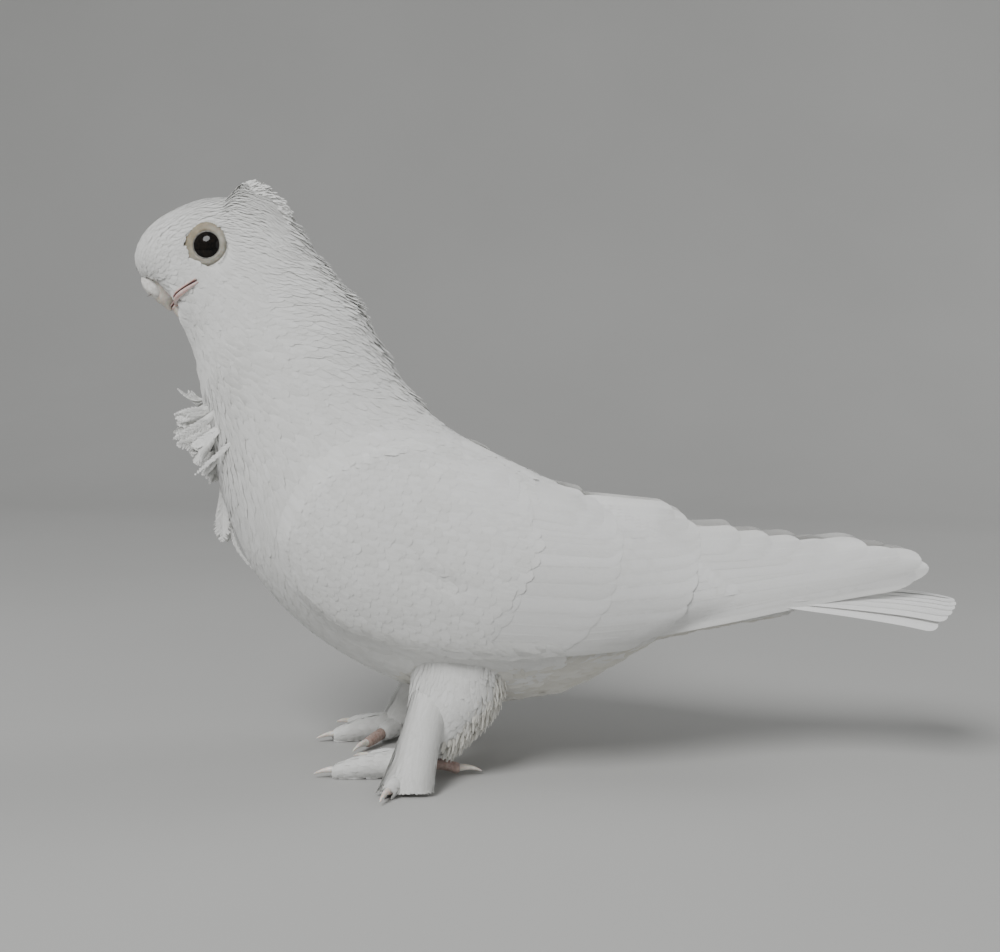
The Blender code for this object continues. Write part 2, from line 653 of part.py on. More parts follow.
def leg_vane(name, side, place, angle, length, spread):
    """A stocking feather that hangs from the leg, down and away from it."""
    root, outer = leg_point(name, side, place, angle, -2), leg_point(name, side, place, angle, 2)
    away = (outer - root).normalized()
    heading = Vector((0, 0, -1)) + away * spread
    return free_vane(root, heading, away, length, 2.9, -0.35, 3)


def make_leg(name, side, looks):
    places = [k / 2 for k in range(2 * len(LEG_LINES[name]) - 1)]
    leg = tube("leg_" + name, [[leg_point(name, side, place, math.tau * k / 12) for k in range(12)]
                               for place in places], looks["plumage"])
    draw = random.Random(17)
    vanes = []
    for place, angles, length in STOCKING_ROWS:
        for angle in angles:
            vanes.append(leg_vane(name, side, place, math.radians(angle * -side),
                                  length * draw.uniform(0.9, 1.1), draw.uniform(0.45, 0.7)))
    fuse(leg, vanes)
    cut(leg, [body_length("clear", NECK_ENDS, TORSO_ENDS, GAP), wing_form("clear", side, GAP + 2.5)])


def toe_rings(start, end, radius):
    """Rings along a toe, with a swelling at each joint."""
    direction = (end - start).normalized()
    across = direction.cross(Vector((0, 0, 1))).normalized()
    up = across.cross(direction)
    rings = []
    for k in range(6):
        f = k / 5
        size = radius * (1.05 - 0.38 * f) * (1 + 0.10 * math.cos(f * math.tau * 2.5))
        size *= math.sqrt(max(1 - max(0.0, (f - 0.82) / 0.2) ** 2, 0.05))
        centre = start + (end - start) * f
        turns = [math.tau * j / 8 for j in range(8)]
        rings.append([centre + (across * math.cos(a) + up * math.sin(a)) * size for a in turns])
    return rings


def claw(name, base, heading, look):
    """A curved, tapering claw that bends down to the floor."""
    across = heading.cross(Vector((0, 0, 1))).normalized()
    rings = []
    for k in range(5):
        f = k / 4
        angle = math.radians(18 - 62 * f)
        if k:
            centre = centre + (heading * math.cos(angle) + Vector((0, 0, math.sin(angle)))) * CLAW_LENGTH / 4
        else:
            centre = base.copy()
        up = Vector((0, 0, math.cos(angle))) - heading * math.sin(angle)
        size = CLAW_RADIUS * (1 - 0.86 * f)
        turns = [math.tau * j / 6 for j in range(6)]
        rings.append([centre + (across * 0.8 * math.cos(a) + up * math.sin(a)) * size for a in turns])
    made = tube(name, rings, look)
    lowest = min(v.co.z for v in made.data.vertices)
    made.data.transform(Matrix.Translation((0, 0, max(0.0, 0.3 * MM - lowest))))
    return made


def make_foot(name, side, looks):
    """An ankle with four toes flat on the floor, each with its own claw."""
    ankle_x, ankle_y = LEG_LINES[name][-1][:2]
    ankle = Vector((ankle_x, side * ankle_y, 3.4))
    foot = bead("foot_" + name, ankle, (7.4, 6.8, SOLE - 3.4 + 0.6), looks["skin"], 7, 12)
    toes = []
    for number, (toe, (x, y)) in enumerate(TOES[name].items()):
        end = Vector((x, side * y, 2.1))
        heading = (end - ankle).to_2d().to_3d().normalized()
        start = ankle + Vector((0, 0, -0.6)) + heading * (0.5 + 0.4 * number)
        toes.append(tube("toe", toe_rings(start, end, TOE_RADIUS - 0.1 * number)))
        claw(f"claw_{name}_{toe}", end + heading * (GAP + 0.05) + Vector((0, 0, 0.8)), heading, looks["claw"])
    fuse(foot, toes + foot_feathers(name, side, ankle))
    leg_ends = LEG_LINES[name][-1][2]
    cut(foot, [slab(ankle, -9, 0), slab(ankle, leg_ends - GAP, leg_ends + 12)])


def foot_feathers(name, side, ankle):
    """Feathers that lie over the outer toes and spread to the floor beside them."""
    vanes = []
    for toe, aside, reach in FOOT_FEATHERS:
        x, y = TOES[name][toe]
        end = Vector((x, side * y, 0)) - Vector((ankle.x, ankle.y, 0))
        across = Vector((-end.y, end.x, 0)).normalized()
        root = ankle + Vector((0, 0, 0.6))
        tip = ankle + end * reach + across * aside * side
        tip.z = 2.4
        heading = tip - root
        root = root + across * aside * side * 0.3
        vanes.append(free_vane(root, heading, (0, 0, -1), heading.length, 3.0, 0.12))
    return vanes


def slab(centre, low, high):
    """A level block round a place, between two heights."""
    corners = ((-60, -60), (60, -60), (60, 60), (-60, 60))
    rings = [[(centre.x + x, centre.y + y, height) for x, y in corners] for height in (low, high)]
    return tube("slab", rings)


def stand_at_origin():
    """Moves the whole bird so that the middle of its box is over the origin and its soles are at z = 0."""
    corners = [v.co for obj in bpy.context.scene.objects for v in obj.data.vertices]
    low = Vector([min(c[i] for c in corners) for i in range(3)])
    high = Vector([max(c[i] for c in corners) for i in range(3)])
    shift = Matrix.Translation((-(low.x + high.x) / 2, -(low.y + high.y) / 2, -low.z))
    for obj in bpy.context.scene.objects:
        obj.data.transform(shift)


def main():
    clear_scene()
    looks = {
        "plumage": material("plumage", WHITE, 0.75),
        "cere": material("cere", CREAM, 0.6),
        "horn": material("bill horn", HORN, 0.45),
        "claw": material("claw horn", HORN, 0.4),
        "skin": material("toe skin", PINK, 0.55),
        "eye": material("eye", DARK, 0.05),
    }
    make_head(looks)
    make_neck(looks)
    make_torso(looks)
    make_tail(looks)
    for name, side in SIDES.items():
        make_wing(name, side, looks)
        make_leg(name, side, looks)
        make_foot(name, side, looks)
    stand_at_origin()


main()
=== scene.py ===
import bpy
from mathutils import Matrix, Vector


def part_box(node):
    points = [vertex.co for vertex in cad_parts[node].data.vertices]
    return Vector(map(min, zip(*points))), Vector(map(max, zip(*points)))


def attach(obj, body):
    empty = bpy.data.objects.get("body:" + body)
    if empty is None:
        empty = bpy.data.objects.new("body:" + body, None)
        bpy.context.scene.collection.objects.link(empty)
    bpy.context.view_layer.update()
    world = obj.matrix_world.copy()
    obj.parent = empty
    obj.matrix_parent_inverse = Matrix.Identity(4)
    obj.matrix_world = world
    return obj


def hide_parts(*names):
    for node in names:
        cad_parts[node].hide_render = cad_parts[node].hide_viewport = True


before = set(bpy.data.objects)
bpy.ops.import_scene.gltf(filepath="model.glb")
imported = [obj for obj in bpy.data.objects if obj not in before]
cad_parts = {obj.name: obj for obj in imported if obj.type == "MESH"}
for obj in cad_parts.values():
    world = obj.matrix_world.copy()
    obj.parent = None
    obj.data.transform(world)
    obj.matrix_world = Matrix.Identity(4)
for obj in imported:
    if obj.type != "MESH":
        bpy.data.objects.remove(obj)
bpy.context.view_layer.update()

from math import cos, pi, radians, sin, tau

import bpy
import numpy as np
from mathutils import Matrix, Vector
from numpy.random import default_rng

# The camera.
# It stands half a metre to the bird's left, level with its neck, and looks slightly down.
# Places are in millimetres in the bird's own frame, and to_frame turns them into metres.
EYE_CENTRE = np.array((-127.2, -11.6, 192.6))
eye_low, eye_high = (np.array(corner) * 1000 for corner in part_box("eye_left"))
SHIFT = (eye_low + eye_high) / 2 - EYE_CENTRE
CAMERA_AT = (-18.9, -500.0, 143.6)
LOOKS_DOWN, LEANS = radians(4.0), radians(0.8)
SENSOR, LENS, NEAREST = 36, 47.37, 0.01


def to_frame(points):
    return (np.asarray(points, float) + SHIFT) * 0.001


ahead = Vector((0, cos(LOOKS_DOWN), -sin(LOOKS_DOWN)))
right, up = Vector((1, 0, 0)), Vector((1, 0, 0)).cross(ahead)
leaning_right = right * cos(LEANS) + up * sin(LEANS)
leaning_up = up * cos(LEANS) - right * sin(LEANS)
bpy.ops.object.select_all(action="DESELECT")
bpy.ops.object.camera_add()
camera = bpy.context.object
turn = Matrix((leaning_right, leaning_up, -ahead)).transposed().to_4x4()
camera.matrix_world = Matrix.Translation(to_frame(CAMERA_AT)) @ turn
camera.data.sensor_width, camera.data.lens, camera.data.clip_start = SENSOR, LENS, NEAREST
bpy.context.scene.camera = camera


# The skin.
# One smooth pale hide from the bill to the tail, with both legs, just inside the feathers.
# Each part is a sheet wrapped round lines across the bird and closed at its ends.
BODY_LINES = np.array((  # x and z on the back, x and z underneath, half width
    (-156.6, 184.5, -154.6, 181.5, 2.5), (-157, 187.5, -151.5, 179.5, 5.6),
    (-156.3, 192.8, -147, 177.5, 8.6), (-153.3, 198.6, -142.6, 174.5, 10.8),
    (-147.3, 204.2, -139.3, 169.6, 12.3), (-139.6, 208.4, -138.2, 163.4, 13.3),
    (-130.6, 211.4, -136.4, 158.4, 14.2), (-120.6, 211.6, -134.6, 153.4, 15.2),
    (-110.1, 208.6, -133.2, 147.6, 16.8), (-99.7, 202.4, -132.2, 141.4, 18.8),
    (-91.4, 192.5, -131, 134, 20.8), (-81.8, 181.4, -129.4, 126, 23.2),
    (-72.1, 168.9, -127.6, 117, 25.8), (-63.7, 154.3, -125.6, 107, 28.8),
    (-55.6, 141.8, -123, 97, 32.2), (-44, 130.2, -118.6, 86, 36.0),
    (-29, 121.2, -111.6, 71.8, 39.4), (-12, 113, -99.6, 57.2, 41.2),
    (5, 105.4, -82.6, 43.6, 41.6), (21.6, 98, -62, 32.8, 40.2),
    (37, 90.6, -39.6, 26.4, 36.6), (50.6, 83.2, -16.4, 24, 31.4),
    (62.4, 76.8, 5, 29, 25.6), (72, 71.6, 25.6, 44.4, 20.0),
    (80.6, 68.2, 45, 50, 15.6), (88, 65.6, 62, 53.8, 11.6),
    (93.6, 63.6, 76, 55.8, 7.6), (97, 62, 88, 58, 3.4),
))
LAST_LINE = len(BODY_LINES) - 1
FULLNESS = 2.15
RIDGE_AT = (6.88, 7.0, 7.12, 7.26, 7.45, 7.8, 8.2, 8.5, 8.8, 9.1, 9.6, 10.2)
RIDGE_RISE = (0.0, 2.2, 4.8, 6.8, 7.0, 5.9, 5.5, 4.5, 2.4, 1.2, 1.0, 0.0)
RIDGE_HALF_ANGLE = 0.56
LEG_LINES = {  # from the thigh down: x, distance from the middle, z, half length, half width
    "left": np.array(((-33, 23.5, 52, 14, 8), (-33.5, 24.5, 40, 16.4, 10.6), (-35.5, 26, 28, 15.8, 11.6),
                      (-39.5, 27, 19, 12.6, 10), (-45, 28, 12, 9.6, 8.4), (-48.5, 28.4, 7.6, 7.8, 7.0))),
    "right": np.array(((-36, 22.5, 52, 14, 8), (-37.5, 23.5, 40, 16, 10.6), (-40.5, 25, 28, 15.4, 11.6),
                       (-46.5, 25.6, 19, 12.2, 10), (-53, 25.8, 12, 9.2, 8.2), (-57.5, 25.8, 7.6, 7.6, 7.0))),
}
FAN_LINES = {  # the fan of feathers that leaves the outer side of each shank and widens down to the floor
    "left": np.array(((-41.0, 27, 36, 8.2, 6), (-44.0, 34, 25, 7.4, 5.4), (-47.0, 41, 14, 7.8, 4.0),
                      (-49.4, 48.6, 5, 9.2, 2.6), (-50.4, 51.5, 1.4, 10.0, 1.7))),
    "right": np.array(((-45, 27, 34, 7, 5.4), (-49.5, 32, 24, 7.4, 4.8), (-54.5, 37, 14, 7.8, 3.8),
                       (-58, 41, 5, 8.6, 2.6), (-59, 42.5, 1.4, 9.0, 1.7))),
}
SIDES = {"left": -1, "right": 1}
SKIN_DEPTH = 1.3


def spline(rows, at):
    """Rows at places along a table, on smooth curves through it."""
    last = len(rows) - 1
    at = np.clip(np.asarray(at, float), 0, last)
    low = np.minimum(at.astype(int), last - 1)
    f = (at - low)[..., None]
    a, b, c, d = (rows[np.clip(low + k, 0, last)] for k in (-1, 0, 1, 2))
    return 0.5 * (2 * b + (c - a) * f + (2 * a - 5 * b + 4 * c - d) * f**2 + (3 * b - a - 3 * c + d) * f**3)


def off_back(angle):
    """How far an angle round the body is from the middle of the back."""
    return np.abs((angle + pi) % tau - pi)


def body(line, angle, out):
    """Places on the body: line from bill to tail, angle 0 on the back and pi below, out off the surface.
    A narrow ridge stands up from the back of the crown under the feathers of the crest."""
    rows = spline(BODY_LINES, line)
    ridge = np.exp(-(off_back(angle) / RIDGE_HALF_ANGLE) ** 2)
    out = out + np.interp(line, RIDGE_AT, RIDGE_RISE) * ridge
    half = (rows[..., 0:2] - rows[..., 2:4]) / 2
    centre = (rows[..., 0:2] + rows[..., 2:4]) / 2
    grow = 1 + out / np.hypot(half[..., 0], half[..., 1])
    c, s = np.cos(angle), np.sin(angle)
    along = np.sign(c) * np.abs(c) ** (2 / FULLNESS) * grow
    across = np.sign(s) * np.abs(s) ** (2 / FULLNESS) * (rows[..., 4] + out)
    x, z = centre[..., 0] + half[..., 0] * along, centre[..., 1] + half[..., 1] * along
    return np.stack((x, across, z), -1)


def leg(name, lines=LEG_LINES):
    """The surface of a leg or fan: how far down it, the angle round it with 0 behind, out off the surface."""
    def place(down, angle, out):
        x, y, z, long, wide = np.moveaxis(spline(lines[name], down), -1, 0)
        y = SIDES[name] * (y + (wide + out) * np.sin(angle))
        return np.stack((x + (long + out) * np.cos(angle), y, z + 0 * angle), -1)
    return place


def smooth(low, high, value):
    """From 0 at low to 1 at high, with soft ends."""
    f = np.clip((value - low) / (high - low), 0, 1)
    return f * f * (3 - 2 * f)


def points_of(piece):
    flat = np.empty(len(piece.data.vertices) * 3)
    piece.data.vertices.foreach_get("co", flat)
    return flat.reshape(-1, 3)


def new_grid(name, around, along):
    """A flat grid of 1 m, and its points."""
    bpy.ops.object.select_all(action="DESELECT")
    bpy.ops.mesh.primitive_grid_add(x_subdivisions=around, y_subdivisions=along, size=1)
    piece = bpy.context.object
    piece.name = piece.data.name = name
    return piece, points_of(piece)


def wrapped(name, around, along, place):
    """A grid wrapped round into a closed form. place takes the angle round it and 0 to 1 along it."""
    piece, flat = new_grid(name, around, along)
    made = to_frame(place((flat[:, 0] + 0.5) * tau, flat[:, 1] + 0.5))
    piece.data.vertices.foreach_set("co", made.ravel())
    bpy.ops.object.mode_set(mode="EDIT")
    bpy.ops.mesh.select_all(action="SELECT")
    bpy.ops.mesh.remove_doubles(threshold=2e-6)
    bpy.ops.mesh.fill_holes(sides=0)
    bpy.ops.mesh.normals_make_consistent(inside=False)
    bpy.ops.object.mode_set(mode="OBJECT")
    bpy.ops.object.shade_smooth()
    return piece


def joined(name, *others):
    """Several pieces made one."""
    bpy.ops.object.select_all(action="DESELECT")
    for other in others:
        other.select_set(True)
    bpy.context.view_layer.objects.active = others[0]
    bpy.ops.object.join()
    piece = bpy.context.object
    piece.name = piece.data.name = name
    return piece


def worn(piece, slot, material, *nodes):
    """Gives a piece its material and body, and hides the nodes that it stands for; the slot is not used."""
    piece.data.materials.append(material)
    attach(piece, "root")
    if nodes:
        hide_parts(*nodes)


def put(tree, kind, inputs, **settings):
    """A node in a tree, with its settings, and with its inputs as plain values or fed by other sockets."""
    node = tree.nodes.new("ShaderNode" + kind)
    for label, value in settings.items():
        setattr(node, label, value)
    for label, value in inputs.items():
        if isinstance(value, bpy.types.NodeSocket):
            tree.links.new(value, node.inputs[label])
        else:
            node.inputs[label].default_value = value
    return node


def sums(tree):
    """A short way to write math nodes in a tree."""
    def do(operation, *values):
        return put(tree, "Math", dict(enumerate(values)), operation=operation).outputs[0]
    return do


def group(name, **inputs):
    """A shader node group that takes these values and puts out a height and a shade."""
    tree = bpy.data.node_groups.new(name, "ShaderNodeTree")
    for label, value in inputs.items():
        tree.interface.new_socket(label, in_out="INPUT", socket_type="NodeSocketFloat").default_value = value
    for label in ("Height", "Shade"):
        tree.interface.new_socket(label, in_out="OUTPUT", socket_type="NodeSocketFloat")
    return tree, tree.nodes.new("NodeGroupInput").outputs, tree.nodes.new("NodeGroupOutput").inputs


def new_material(name, surface, inputs, bump, distance, finish):
    """A material with the plain values of its shader and the bump of a node group."""
    made = bpy.data.materials.new(name)
    made.use_nodes = True
    tree = made.node_tree
    shader = tree.nodes["Principled BSDF"]
    for label, value in finish.items():
        shader.inputs[label].default_value = value
    surface = put(tree, "Group", inputs, node_tree=surface).outputs
    raised = put(tree, "Bump", {"Height": surface["Height"], "Strength": bump, "Distance": distance})
    tree.links.new(raised.outputs[0], shader.inputs["Normal"])
    return made, tree, shader.inputs["Base Color"], surface["Shade"]


def two_tones(tree, shade, low, high, start=0.0, end=1.0):
    """A colour between two tones."""
    ramp = put(tree, "ValToRGB", {0: shade})
    for stop, at, tone in zip(ramp.color_ramp.elements, (start, end), (low, high)):
        stop.position, stop.color = at, (*tone, 1)
    return ramp.outputs[0]


def multiplied(tree, colour, share, first, second):
    """Feeds a colour with a share of the product of two others."""
    mixed = put(tree, "Mix", {0: share, 6: first, 7: second}, data_type="RGBA", blend_type="MULTIPLY")
    tree.links.new(mixed.outputs[2], colour)


# Down and pores: a fine mottle for the skin and the horny parts.
MOTTLE_RELIEF, LOW_TONE_TO, HIGH_TONE_FROM = 0.0004, 0.35, 0.65
mottle, enter, leave = group("mottle", Size=300.0, Depth=0.5)
at_object = put(mottle, "TexCoord", {}).outputs["Object"]
grain = put(mottle, "TexNoise", {"Detail": 6, "Vector": at_object, "Scale": enter["Size"]}).outputs[0]
mottle.links.new(sums(mottle)("MULTIPLY", grain, enter["Depth"]), leave["Height"])
mottle.links.new(grain, leave["Shade"])


def mottled(name, low, high, size, bump, roughness, glow=0.0, depth=0.001):
    """A material that the mottle colours between two tones, with some light below its surface."""
    made, tree, colour, shade = new_material(name, mottle, {"Size": size}, bump, MOTTLE_RELIEF, {
        "Roughness": roughness, "Subsurface Weight": glow, "Subsurface Scale": depth})
    tree.links.new(two_tones(tree, shade, low, high, LOW_TONE_TO, HIGH_TONE_FROM), colour)
    return made


hide = mottled("downy hide", (0.62, 0.60, 0.57), (0.78, 0.77, 0.74), 260, 0.6, 0.8)
shapes = [wrapped("trunk", 96, 190, lambda a, t: body(t * LAST_LINE, a, -SKIN_DEPTH))]
for name in SIDES:
    surface, fan = leg(name), leg(name, FAN_LINES)
    shapes += [wrapped("shank", 32, 30, lambda a, t: surface(t * 5, a, -SKIN_DEPTH)),
               wrapped("fan", 32, 20, lambda a, t: fan(t * 3.1, a, -SKIN_DEPTH))]
worn(joined("skin", *shapes), "plumage", hide, "head", "neck", "torso", "leg_left", "leg_right")


# The small feathers of the body.
# Each is a thin closed leaf of keratin, rooted in the hide, that lies back over the next ones.
# They are spread evenly by area, smallest round the bill and eyes, and joined into one mesh for each region.
WING_UPPER = np.array((  # x, z and distance from the middle
    (-97, 90, 26), (-86, 108, 24), (-64, 121, 18), (-40, 122.5, 13.5), (-15, 113.5, 11.5),
    (8, 105.5, 10), (26, 100.6, 9.5), (38, 100.6, 9), (49, 95.5, 9), (62, 93.2, 8.5),
    (85, 89.6, 7), (106, 86.6, 6), (124, 87.2, 5.5), (136, 84.6, 5.5), (142.5, 80, 6),
))
WING_LOWER = np.array((
    (-98, 84, 29), (-93, 67, 30), (-77, 55, 31), (-53, 48, 31), (-30, 45, 31),
    (-9, 44.5, 30.5), (10, 46.5, 29), (27, 49.2, 27), (42, 51.2, 24.5), (55, 53.2, 22),
    (79, 59.2, 18), (101, 64.6, 14.5), (120, 69.4, 12), (134, 73, 10.5), (142.5, 76.5, 9.5),
))
MOUTH = np.array(((-143.4, 170.6), (-139.2, 174.8), (-135.0, 177.7), (-130.7, 180.2)))
LEAF_AT, LEAF_WIDE = np.array(((0, 0.5), (0.3, 0.9), (0.6, 1.0), (0.84, 0.78), (0.96, 0.42), (1, 0))).T
ROOT_DEPTH, DROOP = 0.9, 0.1
LOWEST, PATCH = 0.12, 0.003
RING_AHEAD, RING_ABOVE, RING_CLEAR, LIPS_CLEAR = 1.2, 0.5, 8.5, 1.3
CREST_TOP, CREST_HALF_ANGLE = 6.6, 0.7

# Barbs: fine slanting ridges on both sides of the shaft, from a map that spans each vane.
BARB_RELIEF, SHAFT_SHARP = 0.0002, 24.0
barbs, enter, leave = group("barbs", Count=60.0, Slant=0.5, Shaft=0.8)
do = sums(barbs)
along_vane = put(barbs, "SeparateXYZ", {0: put(barbs, "UVMap", {}, uv_map="Vane").outputs[0]}).outputs
at_object = put(barbs, "TexCoord", {}).outputs["Object"]
uneven = put(barbs, "TexNoise", {"Scale": 900, "Vector": at_object}).outputs[0]
aside = do("ABSOLUTE", do("SUBTRACT", along_vane[0], 0.5))
slanted = do("SUBTRACT", along_vane[1], do("MULTIPLY", aside, enter["Slant"]))
ridge = do("SINE", do("MULTIPLY", slanted, do("MULTIPLY", enter["Count"], tau)))
off_shaft = do("MINIMUM", do("MULTIPLY", aside, SHAFT_SHARP), 1.0)
shaft = do("MULTIPLY", do("SUBTRACT", 1.0, off_shaft), enter["Shaft"])
height = do("ADD", do("ADD", do("MULTIPLY", ridge, 0.25), shaft), do("MULTIPLY", uneven, 0.6))
# The colour is a little darker down in the grooves between the barbs, a painted shade, and varies with the
# same noise as the bump, a random uneven tone.
shade = do("ADD", do("ADD", 0.96, do("MULTIPLY", ridge, 0.012)), do("MULTIPLY", uneven, 0.06))
barbs.links.new(height, leave["Height"])
barbs.links.new(shade, leave["Shade"])


def plumage(name, low, high, count, bump, soft, shaft):
    """White feathers: a tone of its own for each one, barbs, and a soft edge light."""
    inputs = {"Count": count, "Shaft": shaft}
    made, tree, colour, shade = new_material(name, barbs, inputs, bump, BARB_RELIEF, {
        "Roughness": 0.82, "Sheen Weight": soft, "Sheen Roughness": 0.6, "Subsurface Weight": 0.2,
        "Subsurface Radius": (1.0, 0.95, 0.9), "Subsurface Scale": 0.002, "Specular IOR Level": 0.25})
    tone = put(tree, "Attribute", {}, attribute_name="tone").outputs["Fac"]
    multiplied(tree, colour, 1, two_tones(tree, tone, low, high), shade)
    return made


body_white = plumage("small white feathers", (0.80, 0.80, 0.775), (0.87, 0.87, 0.85), 24, 0.25, 0.1, 0.3)
fluff_white = plumage("loose belly feathers", (0.73, 0.71, 0.64), (0.80, 0.79, 0.74), 18, 0.4, 0.2, 0.2)


def unit(v):
    return v / np.maximum(np.linalg.norm(v, axis=-1, keepdims=True), 1e-9)


def blades(name, rings, tips, side, roots, tones, material):
    """Joins closed blades: rings has the loops of points across each one, and tips the point that it ends in.
    The two long edges of each are sharp, so that its faces are shaded as flat sheets."""
    count, ring_count, around = rings.shape[:3]
    points = np.concatenate((rings.reshape(count, -1, 3), tips[:, None]), 1)
    points[..., 2] = np.maximum(points[..., 2], LOWEST)
    each = points.shape[1]
    quads = [(k + (a + 1) % around, k + around + (a + 1) % around, k + around + a, k + a)
             for k in range(0, (ring_count - 1) * around, around) for a in range(around)]
    last = (ring_count - 1) * around
    ends = [(last + (a + 1) % around, each - 1, last + a) for a in range(around)]
    one = np.concatenate((np.arange(around)[::-1], np.array(quads).ravel(), np.array(ends).ravel()))
    sizes = np.tile(np.array([around] + [4] * len(quads) + [3] * around), count)
    corners = (one[None] + (np.arange(count) * each)[:, None]).ravel()
    mesh = bpy.data.meshes.new(name)
    mesh.vertices.add(count * each)
    mesh.vertices.foreach_set("co", to_frame(points.reshape(-1, 3)).ravel())
    mesh.loops.add(corners.size)
    mesh.loops.foreach_set("vertex_index", corners)
    mesh.polygons.add(len(sizes))
    mesh.polygons.foreach_set("loop_start", np.concatenate(([0], np.cumsum(sizes)[:-1])))
    mesh.polygons.foreach_set("loop_total", sizes)
    mesh.update(calc_edges=True)
    down = np.concatenate((np.repeat(np.arange(ring_count) / ring_count, around), (1.0,)))
    span = np.tile(np.stack((np.concatenate((np.tile(side, ring_count), (0.5,))), down), 1), (count, 1))
    patch = np.repeat(roots, each, 0) + (span - 0.5) * PATCH
    # The first map lays the feathers out over the body, and the second spans each vane.
    for label, values in (("OFBake", patch), ("Vane", span)):
        layer = mesh.uv_layers.new(name=label)
        layer.uv.foreach_set("vector", values[corners].astype(np.float32).ravel())
    mesh.uv_layers["OFBake"].active_render = True
    tone = mesh.attributes.new("tone", "FLOAT", "POINT")
    tone.data.foreach_set("value", np.repeat(tones, each).astype(np.float32))
    mesh.shade_smooth()
    ends_of = np.empty(len(mesh.edges) * 2, np.int32)
    mesh.edges.foreach_get("vertices", ends_of)
    ends_of = ends_of.reshape(-1, 2) % each
    rims = (-1, np.argmin(side), np.argmax(side))
    on_edge = np.isin(np.append(np.tile(np.arange(around), ring_count), -1), rims)
    sharp = on_edge[ends_of].all(1) & (np.abs(ends_of[:, 0] - ends_of[:, 1]) >= around / 2)
    mesh.attributes.new("sharp_edge", "BOOLEAN", "EDGE").data.foreach_set("value", sharp)
    piece = bpy.data.objects.new(name, mesh)
    bpy.context.scene.collection.objects.link(piece)
    worn(piece, "plumage", material)


def leaves(name, centre, normal, wide, droop, thick, roots, draw, material=body_white):
    """Small feathers, four corners across: their middle lines, the way they face and their half widths."""
    ahead = unit(np.gradient(centre, axis=1))
    across = unit(np.cross(ahead, normal))
    facing = np.cross(across, ahead)
    edge = across * wide[..., None]
    sunk = facing * (wide[..., None] * droop)
    rings = np.stack((centre - edge - sunk, centre, centre + edge - sunk, centre - facing * thick), 2)[:, :-1]
    side = np.array((0.0, 0.5, 1.0, 0.5))
    blades(name, rings, centre[:, -1], side, roots, draw.random(len(centre)), material)


def laid(name, surface, u, v, du, dv, half_width, lift, unwrap, draw, material=body_white, thick=0.1):
    """Small feathers laid along a surface from u, v to u + du, v + dv, with their tips lifted by lift."""
    f = LEAF_AT
    su, sv = u[:, None] + du[:, None] * f, v[:, None] + dv[:, None] * f**1.4
    out = -ROOT_DEPTH + (ROOT_DEPTH + lift[:, None] * f**2) * (1 - (1 - f) ** 3)
    centre = surface(su, sv, out)
    normal = surface(su, sv, out + 1.0) - centre
    leaves(name, centre, normal, half_width[:, None] * LEAF_WIDE, DROOP, thick, unwrap(u, v), draw, material)


def scattered(surface, low, high, spacing, draw, tries, keep):
    """Places spread evenly over a surface between two (u, v) corners, at least their spacing apart."""
    u, v = draw.uniform(low[0], high[0], tries), draw.uniform(low[1], high[1], tries)
    at = surface(u, v, np.zeros(tries))
    step = 0.02
    size = np.cross(surface(u + step, v, 0 * u) - at, surface(u, v + step, 0 * u) - at)
    size = np.linalg.norm(size, axis=1)
    chosen = (draw.random(tries) < size / np.percentile(size, 97)) & keep(at)
    u, v, at = u[chosen], v[chosen], at[chosen]
    apart = (spacing(u, v) if callable(spacing) else spacing) + 0 * u
    cell = float(apart.max())
    cells, kept = {}, []
    for k, (p, r) in enumerate(zip(at.tolist(), apart.tolist())):
        home = tuple(int(c // cell) for c in p)
        near = (q for i in (-1, 0, 1) for j in (-1, 0, 1) for h in (-1, 0, 1)
                for q in cells.get((home[0] + i, home[1] + j, home[2] + h), ()))
        if all((p[0] - q[0]) ** 2 + (p[1] - q[1]) ** 2 + (p[2] - q[2]) ** 2 > r * r for q in near):
            cells.setdefault(home, []).append(p)
            kept.append(k)
    return u[kept], v[kept], len(kept)


def per_line(surface, u, v):
    """Millimetres of surface from half a line before u to half a line behind it."""
    return np.linalg.norm(surface(u + 0.5, v, 0 * u) - surface(u - 0.5, v, 0 * u), axis=-1)


def body_map(u, v):
    return np.stack((0.02 + 0.96 * (v / tau % 1), 0.02 + 0.96 * u / LAST_LINE), 1)


def edge_at(edge, x):
    """Height and distance from the middle of a wing edge at x."""
    x = np.asarray(x, float)
    k = np.clip(np.searchsorted(edge[:, 0], x, side="right") - 1, 0, len(edge) - 2)
    rows = spline(edge, k + np.clip((x - edge[k, 0]) / (edge[k + 1, 0] - edge[k, 0]), 0, 1))
    return rows[..., 1], rows[..., 2]


def off_eye(at):
    """How far places lie from the middle of the bare ring, a little ahead of the eye and above its middle."""
    return np.hypot(at[..., 0] - EYE_CENTRE[0] + RING_AHEAD, at[..., 2] - EYE_CENTRE[2] - RING_ABOVE)


def bare(at):
    """Where body feathers grow: not under the wings, and not on the bill, the lips or the eye rings."""
    x, y, z = at[:, 0], np.abs(at[:, 1]), at[:, 2]
    winged = (x > -84) & (z < edge_at(WING_UPPER, x)[0] - 7) & (z > edge_at(WING_LOWER, x)[0] + 8)
    lips = np.min([np.hypot(x - a, z - b) for a, b in spline(MOUTH, np.linspace(0, 2.6, 9))], 0) < LIPS_CLEAR
    bill = (x < -139) & (z < 176.0) | (x < -147.5) & (z < 181.5)
    return ~(winged & (y > 8)) & ~(off_eye(at) < RING_CLEAR) & ~bill & ~(lips & (y > 3))


def on_ridge(u, v):
    """How far a place lies up the ridge of the crest, from 0 beside it to about 1 on its top."""
    return np.interp(u, RIDGE_AT, RIDGE_RISE) / CREST_TOP * np.exp(-(off_back(v) / CREST_HALF_ANGLE) ** 2)


